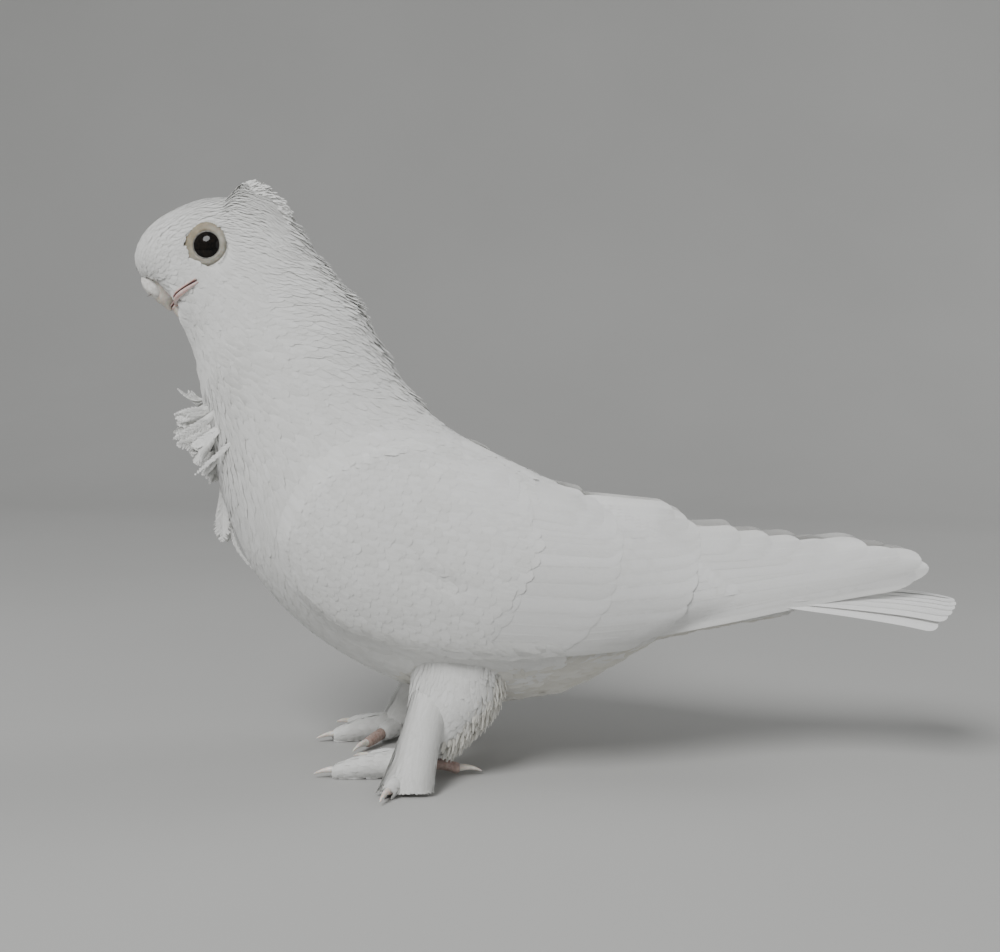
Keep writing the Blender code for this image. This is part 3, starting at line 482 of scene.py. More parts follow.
def head_spacing(u, v):
    near_eye = 0.5 + 0.5 * smooth(9.0, 12.5, off_eye(body(u, v, 0 * u)))
    return (0.86 + 0.05 * u) * near_eye * (1 - 0.42 * on_ridge(u, v))


draw = default_rng(4)
u, v, n = scattered(body, (0.2, 0), (9.6, tau), head_spacing, draw, 260000, bare)
reach = (3.0 + 0.42 * u) * draw.uniform(0.9, 1.1, n) / per_line(body, u, v)
stop = draw.uniform(7.7, RING_CLEAR, n)
for _ in range(8):
    reach = np.where(off_eye(body(u + reach, v, 0 * u)) < stop, reach * 0.8, reach)
laid("coat_head", body, u, v, reach, draw.normal(0, 0.03, n), (1.05 + 0.1 * u) * (1 - 0.25 * on_ridge(u, v)),
     draw.uniform(0.02, 0.08, n), body_map, draw, thick=0.07)

u, v, n = scattered(body, (9.0, 0), (15.0, tau), lambda u, v: 1.5 + 0.1 * (u - 9), draw, 90000, bare)
behind = np.clip(np.cos(v) * 0.5 + 0.55, 0, 1) * smooth(15.0, 11.5, u)
off_middle = np.where(v > pi, v - tau, v)
reach = (7.5 + 0.5 * (u - 9) + 2.0 * behind) * draw.uniform(0.9, 1.1, n) / per_line(body, u, v)
laid("coat_neck", body, u, v, reach, -0.22 * off_middle * behind + draw.normal(0, 0.03, n),
     1.9 + 0.12 * (u - 9), draw.uniform(0.02, 0.09, n) + 0.3 * behind**2 * draw.random(n), body_map, draw)

u, v, n = scattered(body, (14.4, 0), (20.5, tau), 2.2, draw, 90000, bare)
laid("coat_trunk", body, u, v, draw.uniform(10, 13, n) / per_line(body, u, v), draw.normal(0, 0.015, n),
     draw.uniform(3.0, 3.6, n), draw.uniform(0.03, 0.14, n), body_map, draw)

for name, low, high, white in (("coat_vent", 1.75, tau - 1.75, fluff_white),
                               ("coat_rump", -1.85, 1.85, body_white)):
    u, v, n = scattered(body, (18.8, low), (26.4, high), 2.0, draw, 60000, bare)
    below = np.clip(-np.cos(v), 0, 1)
    reach = draw.uniform(9.5, 14.0, n) / np.maximum(per_line(body, u, v), 4.0)
    laid(name, body, u, v, reach, draw.normal(0, 0.05, n), draw.uniform(1.8, 2.8, n),
         draw.uniform(0.03, 0.2, n) + below * draw.random(n), body_map, draw, white)


# The crest and the hackles.
# A low tuft of narrow soft feathers stands on the back of the crown, steep in front and frayed behind.
# Below it the feathers down the nape are long and narrow, and their loose tips stand off the neck.
def arc(root, mid, tip, f):
    return root * (1 - f) ** 2 + 2 * mid * f * (1 - f) + tip * f**2


def bent(root, mid, tip, f=LEAF_AT):
    """Points along smooth curves from root past mid to tip."""
    return arc(root[:, None], mid[:, None], tip[:, None], f[None, :, None])


def loose(name, root, mid, tip, facing, half_width, droop, thick, roots, draw, material=body_white):
    """Narrow feathers that each stand on a curve of their own."""
    centre = bent(root, mid, tip)
    normal = unit(facing)[:, None] + 0 * centre
    leaves(name, centre, normal, half_width[:, None] * LEAF_WIDE, droop, thick, roots, draw, material)


CREST_FEATHERS, HACKLE_FEATHERS = 2000, 2600
n = CREST_FEATHERS
draw = default_rng(11)
line = 6.9 + 2.6 * draw.random(n)
aside = draw.normal(0, 0.28, n).clip(-0.8, 0.8)
root = body(line, aside, np.full(n, -1.4))
lean = np.interp(line, (6.8, 7.1, 7.4, 7.8, 8.2, 8.6, 9.0, 9.6),
                 (0.5, 1.05, 1.35, 1.62, 1.92, 2.25, 2.45, 2.4))
lean = lean + draw.normal(0, 0.08, n)
long = np.interp(line, (6.8, 7.2, 8.0, 9.5), (3.2, 5.4, 7.0, 6.6)) * draw.uniform(0.7, 1.1, n)
heading = unit(np.stack((np.sin(lean), -0.035 * root[:, 1] + draw.normal(0, 0.05, n), np.cos(lean)), 1))
mid = root + heading * (long * 0.5)[:, None] + (-0.2, 0, 0.5)
facing = unit(body(line, aside, np.full(n, 1.0)) - root)
facing[:, 1] += 0.5 * np.sign(aside + 1e-6)
facing += draw.normal(0, 0.1, (n, 3))
loose("crest", root, mid, root + heading * long[:, None], facing, draw.uniform(0.5, 0.95, n), 0.15, 0.05,
      body_map(line, aside), draw)

n = HACKLE_FEATHERS
line = draw.uniform(8.8, 14.8, n)
aside = draw.normal(0, 0.36, n).clip(-1.1, 1.1)
root = body(line, aside, np.full(n, -0.8))
down = draw.uniform(7, 11, n) * (1 - 0.25 * np.abs(aside)) / per_line(body, line, aside)
shaggy = 2.0 + 1.8 * np.exp(-((line - 11.2) / 0.5) ** 2) + 0.8 * np.sin(line * 5.1)
over = draw.uniform(0.0, 1.0, n) ** 2 * shaggy * np.exp(-(aside / 0.45) ** 2) * smooth(15.2, 13.4, line)
mid = body(line + 0.55 * down, aside * 0.9, 0.35 + 0.3 * over)
tip = body(line + 0.95 * down, aside * 0.75, 0.25 + over)
facing = body(line, aside, np.full(n, 1.0)) - root + draw.normal(0, 0.18, (n, 3))
loose("hackles", root, mid, tip, facing, draw.uniform(0.5, 1.0, n), 0.15, 0.06, body_map(line, aside), draw)


# The frill.
# Down the front of the neck loose feathers turn outwards and curl in soft lobes that hang over the breast.
# Each is a smooth sheet with a fringe of loose barbs. A few spoon-shaped and thin ones hang free below.
LOBES = (  # how many, lines of the roots, tips (x, z) from and to, spread of the tips, half width, sag, spoon
    (7, (9.7, 10.4), (-139.6, 140.2), (-135.0, 137.4), 1.6, 0.7, 3.8, False),
    (30, (10.1, 10.9), (-141.8, 130.2), (-140.6, 126.4), 3.4, 2.1, 0.8, False),
    (34, (10.4, 11.3), (-141.0, 126.4), (-138.8, 121.8), 4.6, 2.1, 1.2, False),
    (40, (10.8, 11.9), (-140.0, 122.8), (-137.0, 117.2), 4.8, 2.1, 1.7, False),
    (44, (11.3, 12.4), (-138.2, 118.4), (-131.6, 111.6), 4.8, 2.1, 2.1, False),
    (16, (11.9, 12.8), (-132.8, 109.0), (-129.8, 104.0), 1.8, 1.3, 0.0, False),
    (5, (13.1, 13.4), (-125.2, 84.2), (-122.6, 82.2), 0.9, 3.6, -0.8, True),
    (2, (13.8, 13.9), (-113.2, 72.4), (-112.4, 71.4), 0.3, 0.6, 6.4, False),
)
FINE_FRINGE, PLAIN_FRINGE = 26, 12
FREE_FROM = 13.8
FRILL_AT = np.linspace(0, 1, 9)


def fringe(centre, facing, wide, maps, each, draw):
    """Loose barbs along both edges of feathers that have these middle lines and half widths."""
    ahead = unit(np.gradient(centre, axis=1))
    across = unit(np.cross(ahead, facing[:, None]))
    share = np.tile(np.linspace(0.2, 1.0, each), 2)[None] + draw.normal(0, 0.015, (len(centre), 2 * each))
    hand = np.repeat((-1.0, 1.0), each)[None, :, None]
    at = np.clip(share, 0, 1) * (len(FRILL_AT) - 1)
    low = np.minimum(at.astype(int), len(FRILL_AT) - 2)
    part = (at - low)[..., None]
    every = np.arange(len(centre))[:, None]
    root, on, out, half = (t[every, low] * (1 - part) + t[every, low + 1] * part
                           for t in (centre, ahead, across, wide[..., None]))
    out = out * hand
    length = draw.uniform(0.85, 1.12, share.shape)[..., None]
    ahead_by = 1.1 * half * length * (1.3 - 0.8 * np.clip(share, 0, 1)[..., None]) + 0.5
    off_sheet = facing[:, None] * draw.normal(0, 0.2, share.shape)[..., None]
    tip = root + out * half * length * 1.08 + on * ahead_by + off_sheet
    mid = root + out * half * 0.65 * length + on * half * 0.7
    lines = bent(*(t.reshape(-1, 3) for t in (root, mid, tip)))
    faces = np.repeat(facing, 2 * each, 0) + draw.normal(0, 0.04, (len(lines), 3))
    thick = draw.uniform(0.2, 0.34, len(lines)) * (FINE_FRINGE / each) ** 0.4
    return lines, unit(faces)[:, None] + 0 * lines, thick[:, None] * LEAF_WIDE, np.repeat(maps, 2 * each, 0)


draw = default_rng(23)
parts = []
for n, lines, first, last, spread, half_width, sag, spoon in LOBES:
    single = half_width < 1 or spoon
    line, aside = draw.uniform(*lines, n), pi + draw.normal(0, 0.04 if single else 0.3, n)
    root = body(line, aside, np.full(n, -1.2))
    share = draw.random(n)[:, None]
    tip = np.array(first) * (1 - share) + np.array(last) * share + draw.normal(0, 0.5, (n, 2))
    tip = np.stack((tip[:, 0], root[:, 1] * 0.7 + draw.normal(0, spread, n), tip[:, 1]), 1)
    if not single:
        tip = root + (tip - root) * (1 - 0.35 * draw.random(n) ** 1.5)[:, None]
    bow = sag * draw.uniform(0.7, 1.1, n)
    mid = root * 0.45 + tip * 0.55 + np.stack((-0.9 * bow * (line > FREE_FROM), 0 * line, -bow), 1)
    facing = np.stack((np.full(n, -0.35), np.where(root[:, 1] < 0, -1.0, 1.0), np.full(n, 0.35)), 1)
    facing = unit(facing + draw.normal(0, 0.38, (n, 3)) * (not single))
    profile = 0.3 + 0.7 * smooth(0.2, 0.7, FRILL_AT) if spoon else 0.75 + 0.25 * np.sin(FRILL_AT * pi)
    profile = profile * np.sqrt(np.clip(1.03 - FRILL_AT**3, 0, 1))
    wide = half_width * draw.uniform(0.7, 1.2, n)[:, None] * profile
    maps = body_map(line, aside)
    parts.append(fringe(bent(root, mid, tip, FRILL_AT), facing, wide, maps,
                        FINE_FRINGE if single else PLAIN_FRINGE, draw))
    middle = bent(root, mid, tip)
    sheet_wide = wide[:, np.searchsorted(FRILL_AT, LEAF_AT)] * 0.9
    parts.append((middle, facing[:, None] + 0 * middle, sheet_wide, maps))
lines, faces, widths, maps = (np.concatenate(t) for t in zip(*parts))
leaves("frill", lines, faces, widths, 0.12, 0.06, maps, draw)


# The wings.
# Each lies folded on the flank: a thin arm of flesh, and over it nine primaries, twelve secondaries and
# tertials and two rows of coverts, each vane with its edge tucked under the next.
WING_COVER, WING_BULGE, ARM_DEPTH = 3.8, 2.2, 1.9
ARM_FROM, ARM_LONG, ARM_INSET = -95, 226, 3
WING_ROWS = (  # name, how many, roots and tips (x, z) from below to above, half width, lift
    ("primaries", 9, ((32, 53.5), (27, 70), (28, 88)),
     ((138, 74.4), (142.4, 77.6), (140, 80.4), (132, 81.8), (120, 83.8), (109, 83.0), (96, 84.0), (84, 85.6),
      (72, 87.4)), 5.2, 0.12),
    ("secondaries", 12, ((-32, 50.5), (-20, 72), (-4, 99)),
     ((34, 54.4), (41.5, 56.8), (47.4, 61.2), (51.6, 66.5), (54, 72.5), (55.5, 78.5), (56.6, 84), (56.4, 88),
      (53.5, 91.6), (47, 94.8)), 5.4, 0.28),
    ("greater_coverts", 12, ((-60, 55), (-46, 80), (-28, 106)),
     ((5, 52), (13, 57), (20, 66), (24, 76), (26, 85), (24, 92), (14, 98)), 6.2, 0.40),
    ("median_coverts", 13, ((-84, 65), (-72, 88), (-60, 114)),
     ((-24, 50.5), (-17, 58), (-11, 68), (-8, 80), (-7, 92), (-8, 101), (-16, 107)), 6.4, 0.50),
)
flight_white = plumage("flight feathers", (0.80, 0.80, 0.78), (0.86, 0.86, 0.845), 150, 0.22, 0.05, 1.6)

# How far the body and the wing reach from the middle, at each millimetre of x and z.
TABLE_FROM, TABLE_WIDE, TABLE_HIGH = -160, 320, 222
side_grid = np.meshgrid(np.linspace(0, LAST_LINE, 541), np.linspace(0, pi, 241), indexing="ij")
side_points = body(*side_grid, 0 * side_grid[0]).reshape(-1, 3)
flat_x, flat_z = np.indices((TABLE_WIDE, TABLE_HIGH), float)
flat_x += TABLE_FROM
column = np.clip(np.round(side_points[:, 0] - TABLE_FROM).astype(int), 0, TABLE_WIDE - 1)
level = np.clip(np.round(side_points[:, 2]).astype(int), 0, TABLE_HIGH - 1)
body_table = np.zeros(flat_x.shape)
np.maximum.at(body_table, (column, level), side_points[:, 1])


def blurred(table, times):
    for _ in range(times):
        new = table[1:-1, 1:-1] * 4 + table[:-2, 1:-1] + table[2:, 1:-1] + table[1:-1, :-2] + table[1:-1, 2:]
        table = table.copy()
        table[1:-1, 1:-1] = new / 8
    return table


upper_z, upper_y = edge_at(WING_UPPER, flat_x)
lower_z, lower_y = edge_at(WING_LOWER, flat_x)
share = np.clip((flat_z - lower_z) / np.maximum(upper_z - lower_z, 0.1), 0, 1)
arch = 4 * share * (1 - share)
cover = WING_COVER * np.minimum(1, 1.5 * arch + 0.75) * smooth(-108, -88, flat_x)
blade = lower_y + (upper_y - lower_y) * share + WING_BULGE * arch
soft_body = blurred(body_table, 2)
wing_table = blurred(np.maximum(np.maximum(blade, soft_body + cover), 1.4), 4)


def looked_up(table, x, z):
    """A table's value at x, z, between its grid places."""
    gx, gz = np.clip(x - TABLE_FROM, 0, TABLE_WIDE - 1.01), np.clip(z, 0, TABLE_HIGH - 1.01)
    i, j = gx.astype(int), gz.astype(int)
    fx, fz = gx - i, gz - j
    return (table[i, j] * (1 - fx) * (1 - fz) + table[i + 1, j] * fx * (1 - fz)
            + table[i, j + 1] * (1 - fx) * fz + table[i + 1, j + 1] * fx * fz)


def flank(table, side):
    """A surface on one side of the bird from a table of its distances from the middle."""
    def place(x, z, out):
        y = looked_up(table, x, z)
        slope_x = (looked_up(table, x + 1, z) - looked_up(table, x - 1, z)) / 2
        slope_z = (looked_up(table, x, z + 1) - looked_up(table, x, z - 1)) / 2
        lean = out / np.sqrt(1 + slope_x**2 + slope_z**2)
        return np.stack((x - slope_x * lean, side * (y + lean), z - slope_z * lean), -1)
    return place


def flank_map(side):
    return lambda x, z: np.stack((0.25 + 0.24 * side + (x - TABLE_FROM) * 0.0007, 0.02 + z * 0.004), 1)


VANE = np.concatenate((np.linspace(0, 0.8, 15), 1 - 0.2 * (1 - np.linspace(0.1, 1, 10)) ** 1.6))
VANE_POINTS, SHAFT_HIGH, SHAFT_HALF = 11, 0.05, 0.12


def vanes(name, place, hand, centre, wide, lift, tilt, thick, roots, draw):
    """Long feathers on a sheet: middle lines, half widths, lift and the tilt that tucks one edge under."""
    ahead = unit(np.gradient(centre, axis=1))
    beside = np.stack((-ahead[..., 1], ahead[..., 0]), -1)
    s = np.linspace(1, -1, VANE_POINTS) * hand
    loop = np.concatenate((s, s[-2:0:-1]))
    top = np.arange(len(loop)) < VANE_POINTS
    at = centre[:, :, None] + beside[:, :, None] * wide[:, :, None, None] * loop[:, None]
    bulge = np.where(top, thick, -thick) * (1 - loop**4) * 0.5
    shaft = np.where(top, SHAFT_HIGH * np.exp(-(loop / SHAFT_HALF) ** 2), 0)
    height = lift[..., None] + bulge + shaft - tilt * loop * wide[..., None] / wide.max()
    points = place(at[..., 0], at[..., 1], height)
    tips = place(centre[:, -1, 0], centre[:, -1, 1], lift[:, -1])
    blades(name, points[:, :-1], tips, (loop * hand + 1) / 2, roots, draw.random(len(centre)), flight_white)


def blunt(f0, root=0.55):
    """Half width along a flight feather: fuller past the root, then a rounded end from f0 on."""
    return np.where(VANE < f0, root + (1 - root) * np.sin(np.minimum(VANE / 0.45, 1) * pi / 2),
                    np.sqrt(np.clip(1 - ((VANE - f0) / (1 - f0)) ** 2, 0, 1)))


for name, side in SIDES.items():
    draw = default_rng(31 + side)
    sheet = flank(wing_table, side)

    def arm(a, t):
        x = ARM_FROM + ARM_LONG * t
        top, bottom = edge_at(WING_UPPER, x)[0] - ARM_INSET, edge_at(WING_LOWER, x)[0] + ARM_INSET
        return sheet(x, (top + bottom) / 2 + (top - bottom) / 2 * np.cos(a), -ARM_DEPTH + 0.8 * np.sin(a))

    worn(wrapped("wing_arm_" + name, 48, 110, arm), "plumage", hide, f"wing_{name}")
    for row, n, roots, tips, half_width, lift in WING_ROWS:
        share = np.linspace(0, 1, n)
        root = spline(np.array(roots, float), share * (len(roots) - 1)) + draw.normal(0, 0.25, (n, 2))
        tip = spline(np.array(tips, float), share * (len(tips) - 1)) + draw.normal(0, 0.35, (n, 2))
        sag = np.stack((0 * share, 1.6 - 3.0 * share), 1) * (row == "primaries")
        f = VANE[None, :, None]
        centre = root[:, None] * (1 - f) + tip[:, None] * f + 4 * f * (1 - f) * sag[:, None]
        wide = half_width * blunt(0.88)[None] * draw.uniform(0.94, 1.06, n)[:, None]
        lift = np.full((n, len(VANE)), lift) - 0.8 * (1 - VANE) ** 2 - 0.10 * smooth(0.8, 1.0, VANE)
        vanes(f"{row}_{name}", sheet, -side, centre, wide, lift, 0.1, 0.11, flank_map(side)(*root.T), draw)


# The shoulders and flanks.
# Small feathers cover the front of each wing and spill over its upper and lower edges,
# so that neck, breast, back and wing run into one another.
OVER_ROWS = 0.72
in_wing = (flat_x > -98) & (flat_z < upper_z) & (flat_z > lower_z)
over_wing = 1.3 * smooth(-100, -80, flat_x) - 0.5 * smooth(-60, -30, flat_x)
cover_table = blurred(np.where(in_wing, wing_table + over_wing, body_table), 90)
cover_table = np.maximum(cover_table, blurred(np.where(in_wing, wing_table + OVER_ROWS, 0), 3))


def shoulder(at):
    """Where shoulder feathers grow: on the front of the wing and along its edges, clear of the body."""
    x, z = at[:, 0], at[:, 2]
    above, below = z - edge_at(WING_UPPER, x)[0], edge_at(WING_LOWER, x)[0] - z
    on_body = looked_up(body_table, x, z)
    stands_off = looked_up(cover_table, x, z) - on_body
    front = x < -26 + 10 * np.sin(z * 0.09)
    grown = front | (above > -9) & (x < -16) | (below > -7) & (x < -6)
    return (on_body > 14) & (stands_off > 0.12) & (above < 12) & (below < 9) & grown


for name, side in SIDES.items():
    draw = default_rng(51 + side)
    sheet = flank(cover_table, side)
    x, z, n = scattered(sheet, (-118, 36), (2, 134), lambda x, z: 1.7 + 0.9 * smooth(-100, -40, x),
                        draw, 90000, shoulder)
    long = (8.5 + 4.5 * smooth(-100, -30, x)) * draw.uniform(0.9, 1.1, n)
    steep = -0.16 - 0.62 * smooth(-66, -104, x) - 0.25 * smooth(70, 50, z) * smooth(-40, -90, x)
    steep += draw.normal(0, 0.05, n)
    steep -= 0.24 * smooth(14, 3, edge_at(WING_UPPER, x)[0] - z) * smooth(-60, -44, x)
    laid("shoulder_" + name, sheet, x, z, long * np.cos(steep), long * np.sin(steep),
         2.2 + 1.3 * smooth(-100, -40, x), draw.uniform(0.02, 0.1, n), flank_map(side), draw)


# The tail.
# Twelve straight blunt feathers lie stacked in a low roof, the outer ones lowest.
# Soft coverts close over their roots above and below.
TAIL_RIDGE = np.array(((55, 66.8), (80, 67.4), (105, 67.6), (130, 67.2), (145, 66.0), (158, 64.0)))
TAIL_FALL, TAIL_HALF = 8.0, 24.0


def tail_sheet(x, y, out):
    ridge = spline(TAIL_RIDGE, np.interp(x, TAIL_RIDGE[:, 0], np.arange(len(TAIL_RIDGE))))[..., 1]
    return np.stack((x, y, ridge - TAIL_FALL * (y / TAIL_HALF) ** 2 + out), -1)


def tail_map(x, y):
    return np.stack((0.6 + y * 0.004, 0.9 + (x - 50) * 0.0008), 1)


draw = default_rng(71)
f = VANE[None, :, None]
for row, n, root_x, tip_x, root_half, tip_half, half_width, lift in (  # odd rows have no middle feather
        ("rectrices", 12, 62, 155, 8, 18.0, 5.6, 0.0), ("upper_tail_coverts", 9, 48, 112, 7, 12, 5.2, 0.9),
        ("under_tail_coverts", 9, 48, 122, 7, 12, 5.2, -1.5)):
    stacked = row == "rectrices"
    share = np.linspace(-1, 1, n)
    aside = np.abs(share)
    root = np.stack((root_x + 0 * share, root_half * share), 1)
    tip = np.stack((tip_x - 11 * aside**2.4 + draw.normal(0, 0.6, n), tip_half * share), 1)
    centre = root[:, None] * (1 - f) + tip[:, None] * f
    wide = half_width * blunt(0.93 if stacked else 0.7)[None] * draw.uniform(0.95, 1.05, n)[:, None]
    stack = (-0.42 * aside * (n / 2) - 1.3 * (aside > 0.95)) * stacked
    lift = lift + stack[:, None] * VANE[None]
    for half, of_half, tilt in (("left", share < 0, -0.3), ("right", share > 0, 0.3)):
        vanes(f"{row}_{half}", tail_sheet, 1, centre[of_half], wide[of_half], lift[of_half], tilt, 0.2,
              tail_map(*root[of_half].T), draw)
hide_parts("tail")


# The stockings.
# Soft feathers clothe the thighs and shanks, with a shaggy tuft of finer ones behind each hock.
# On the outer side of each shank long ones spread in a flat fan that ends at the floor beside the foot.
OFF_FLOOR, TUFT_FEATHERS = 1.0, 1500


def leg_map(side):
    return lambda u, v: np.stack((0.25 + 0.4 * side * 0.5 + 0.1 * (v / tau % 1), 0.5 + 0.08 * u), 1)


def above_floor(at):
    return at[:, 2] > OFF_FLOOR


for name, side in SIDES.items():
    draw = default_rng(91 + side)
    surface, fan = leg(name), leg(name, FAN_LINES)
    u, v, n = scattered(surface, (0, 0), (4.9, tau), 1.45, draw, 60000, above_floor)
    behind = np.clip(np.cos(v), 0, 1)
    reach = np.minimum(draw.uniform(7.5, 10, n) / per_line(surface, u, v), 5.25 - u)
    laid("stocking_" + name, surface, u, v, reach, draw.normal(0, 0.08, n), draw.uniform(1.2, 1.7, n),
         draw.uniform(0.03, 0.15, n) + behind**2 * draw.uniform(0, 1.6, n), leg_map(side), draw)

    u, v, n = scattered(fan, (0.1, 0), (3.7, tau), 0.92, draw, 70000, above_floor)
    reach = np.minimum(draw.uniform(8, 12, n) / per_line(fan, u, v), 4.0 - u - 0.3 * draw.random(n) ** 2)
    laid("foot_fan_" + name, fan, u, v, reach, draw.normal(0, 0.04, n), draw.uniform(0.65, 0.95, n),
         draw.uniform(0.02, 0.12, n) + 0.3 * smooth(1, 3.5, u) * draw.random(n), leg_map(side),
         draw, thick=0.06)

    n = TUFT_FEATHERS
    u, v = draw.uniform(0.6, 3.9, n), draw.normal(0, 0.5, n)
    root = surface(u, v, np.full(n, -0.6))
    off = draw.random(n) ** 1.6
    drop = draw.uniform(3.5, 7, n)
    back = 0.3 + 2.4 * off - 0.3 * drop * smooth(1.2, 2.4, u)
    tip = root + np.stack((back, side * draw.normal(0.1, 0.5, n), -drop), 1)
    tip[:, 2] = np.maximum(tip[:, 2], OFF_FLOOR)
    mid = root * 0.5 + tip * 0.5 + np.stack((0.4 + 1.0 * off, 0 * u, 0.6 * off), 1)
    facing = np.array((0.6, side * 0.9, 0.3)) + draw.normal(0, 0.2, (n, 3))
    loose("hock_tuft_" + name, root, mid, tip, facing, 0.6 - 0.3 * off, 0.12, 0.05, leg_map(side)(u, v),
          draw, fluff_white)


# The toes.
# Four toes on each foot, pink and scaly where feathers do not hide them, with plates across the top and pads
# below. Each ends in a horn-coloured claw. The front ones wear sleeves of short feathers that point forward.
TOES = {  # x of the tip, its distance from the middle, and how far along feathers hide the toe
    "left": {"inner": (-67, 13, 0.88), "middle": (-77, 31, 0.97), "outer": (-56, 55, 0.95),
             "hind": (-32, 26, 0)},
    "right": {"inner": (-70, 5, 0.5), "middle": (-83, 18, 0.97), "outer": (-79, 38, 0.95),
              "hind": (-42, 25, 0)},
}
HEEL_HIGH, TIP_HIGH, TOE_ROUND, TOE_TAPER = 5.6, 2.5, 2.5, 0.7
CLAW_LONG, CLAW_ROUND = 9.6, 1.55
SLEEVE_FULL = {"inner": 1.5, "middle": 2.2, "outer": 1.5}
UP = np.array((0, 0, 1.0))
scaly = mottled("scaly pink skin", (0.33, 0.235, 0.205), (0.47, 0.355, 0.31), 900, 0.3, 0.5, 0.2, 0.002)
horn = mottled("pale claw horn", (0.62, 0.57, 0.50), (0.80, 0.77, 0.71), 500, 0.15, 0.35, 0.25)


def tube(axis, radius, lowest=LOWEST):
    """A surface round a curved line, above the floor. axis and radius are functions of 0 to 1 along it."""
    def place(a, t):
        at, ahead = axis(t), unit(axis(t + 0.01) - axis(t - 0.01))
        beside = unit(np.cross(ahead, UP))
        above = np.cross(beside, ahead)
        r = radius(a, t)[:, None]
        made = at + beside * r * np.cos(a)[:, None] + above * r * np.sin(a)[:, None]
        made[:, 2] = np.maximum(made[:, 2], lowest)
        return made
    return place


def claw_radius(a, t):
    return CLAW_ROUND * np.sqrt(np.clip(1 - t, 0, 1)) * (1 - 0.35 * t) + 0.02


for name, side in SIDES.items():
    draw = default_rng(111 + side)
    ankle = LEG_LINES[name][-1]
    heel = np.array((ankle[0], side * ankle[1], HEEL_HIGH))
    shapes, claws, sleeves = [], [], []
    for toe, (tip_x, tip_y, clothed) in TOES[name].items():
        end = np.array((tip_x, side * tip_y, TIP_HIGH))
        knuckle = heel * 0.5 + end * 0.5 + UP * 1.2
        length = np.linalg.norm(end - heel)
        ahead = unit(unit(end - knuckle) * (1, 1, 0))

        def axis(t):
            return arc(heel, knuckle, end, t[:, None])

        def radius(a, t):
            plates = np.abs(np.sin(t * length * 0.95)) ** 0.5 * np.clip(np.sin(a), 0, 1)
            pads = np.sin(t * length * 0.42) * np.clip(-np.sin(a), 0, 1)
            end_round = np.sqrt(np.clip(1 - (np.clip(t - 0.93, 0, 1) / 0.075) ** 2, 0, 1))
            return (TOE_ROUND - TOE_TAPER * t + 0.2 * plates + 0.25 * pads) * end_round + 0.02

        def claw_axis(t):
            t = t[:, None]
            return end + ahead * (-1.5 + CLAW_LONG * t) + UP * (0.4 + 2.0 * t - 3.3 * t**2)

        shapes.append(wrapped("toe", 28, 90, tube(axis, radius)))
        claws.append(wrapped("claw", 20, 36, tube(claw_axis, claw_radius, 0.2)))
        if not clothed:
            continue

        def sleeve(u, v, out):
            full = SLEEVE_FULL[toe] * np.sqrt(np.clip(1 - (u / (clothed + 0.06)) ** 3, 0, 1))
            r = (TOE_ROUND - TOE_TAPER * u + full + out)[..., None]
            beside = unit(np.cross(unit(end - heel), UP))
            at = arc(heel, knuckle, end, u[..., None])
            at = at + beside * r * np.cos(v)[..., None] + UP * r * np.sin(v)[..., None]
            at[..., 2] = np.maximum(at[..., 2], 0.7)
            return at

        u, v, n = scattered(sleeve, (0, 0), (clothed, tau), 1.1, draw, 14000, above_floor)
        reach = np.minimum(draw.uniform(4.5, 6.5, n) / length, clothed + 0.08 - u)
        out = -1.0 + (1.0 + draw.uniform(0.05, 0.4, n)[:, None]) * (1 - (1 - LEAF_AT) ** 3)
        su, sv = u[:, None] + reach[:, None] * LEAF_AT, v[:, None] + 0 * LEAF_AT
        centre = sleeve(su, sv, out)
        wide = draw.uniform(0.9, 1.3, n)[:, None] * LEAF_WIDE
        sleeves.append((centre, sleeve(su, sv, out + 1.0) - centre, wide, leg_map(side)(4 + u, v)))
    worn(joined("toes_" + name, *shapes), "toe_skin", scaly, f"foot_{name}")
    worn(joined("claws_" + name, *claws), "claw_horn", horn, *[f"claw_{name}_{toe}" for toe in TOES[name]])
    centre, normal, wide, maps = (np.concatenate(t) for t in zip(*sleeves))
    normal = np.where(np.linalg.norm(normal, axis=-1, keepdims=True) < 0.3, -UP, normal)
    leaves("toe_feathers_" + name, centre, normal, wide, 0.12, 0.07, maps, draw)


# The eyes.
# Each is a dark wet globe set in a broad ring of bare cream flesh, wider in front and above, with fine folds
# that run round it and a thin grey lid edge.
EYE_AXIS = unit(np.array((-0.10, -1.0, 0.12)))
GLOBE_RADIUS, RING_RADIUS, RING_WIDE, RING_OUT, RING_FALL = 6.0, 5.1, 4.3, 2.15, 2.1
LID_RADIUS, LID_OUT = 5.05, 2.25
WARM_TONE = (0.80, 0.71, 0.55)
wet = mottled("wet dark eye", (0.003, 0.003, 0.003), (0.011, 0.008, 0.006), 700, 0.02, 0.06)
for label, value in (("Specular IOR Level", 0.15), ("Coat Weight", 0.05), ("Coat Roughness", 0.05)):
    wet.node_tree.nodes["Principled BSDF"].inputs[label].default_value = value
bare_flesh = mottled("cream eye flesh", (0.28, 0.265, 0.22), (0.38, 0.362, 0.31), 500, 0.25, 0.6, 0.2)
tree = bare_flesh.node_tree
colour = tree.nodes["Principled BSDF"].inputs["Base Color"]
warmth = put(tree, "Attribute", {}, attribute_name="tone").outputs["Fac"]
multiplied(tree, colour, warmth, colour.links[0].from_socket, (*WARM_TONE, 1))
lid_skin = mottled("grey lid edge", (0.10, 0.095, 0.09), (0.26, 0.25, 0.22), 800, 0.2, 0.4)

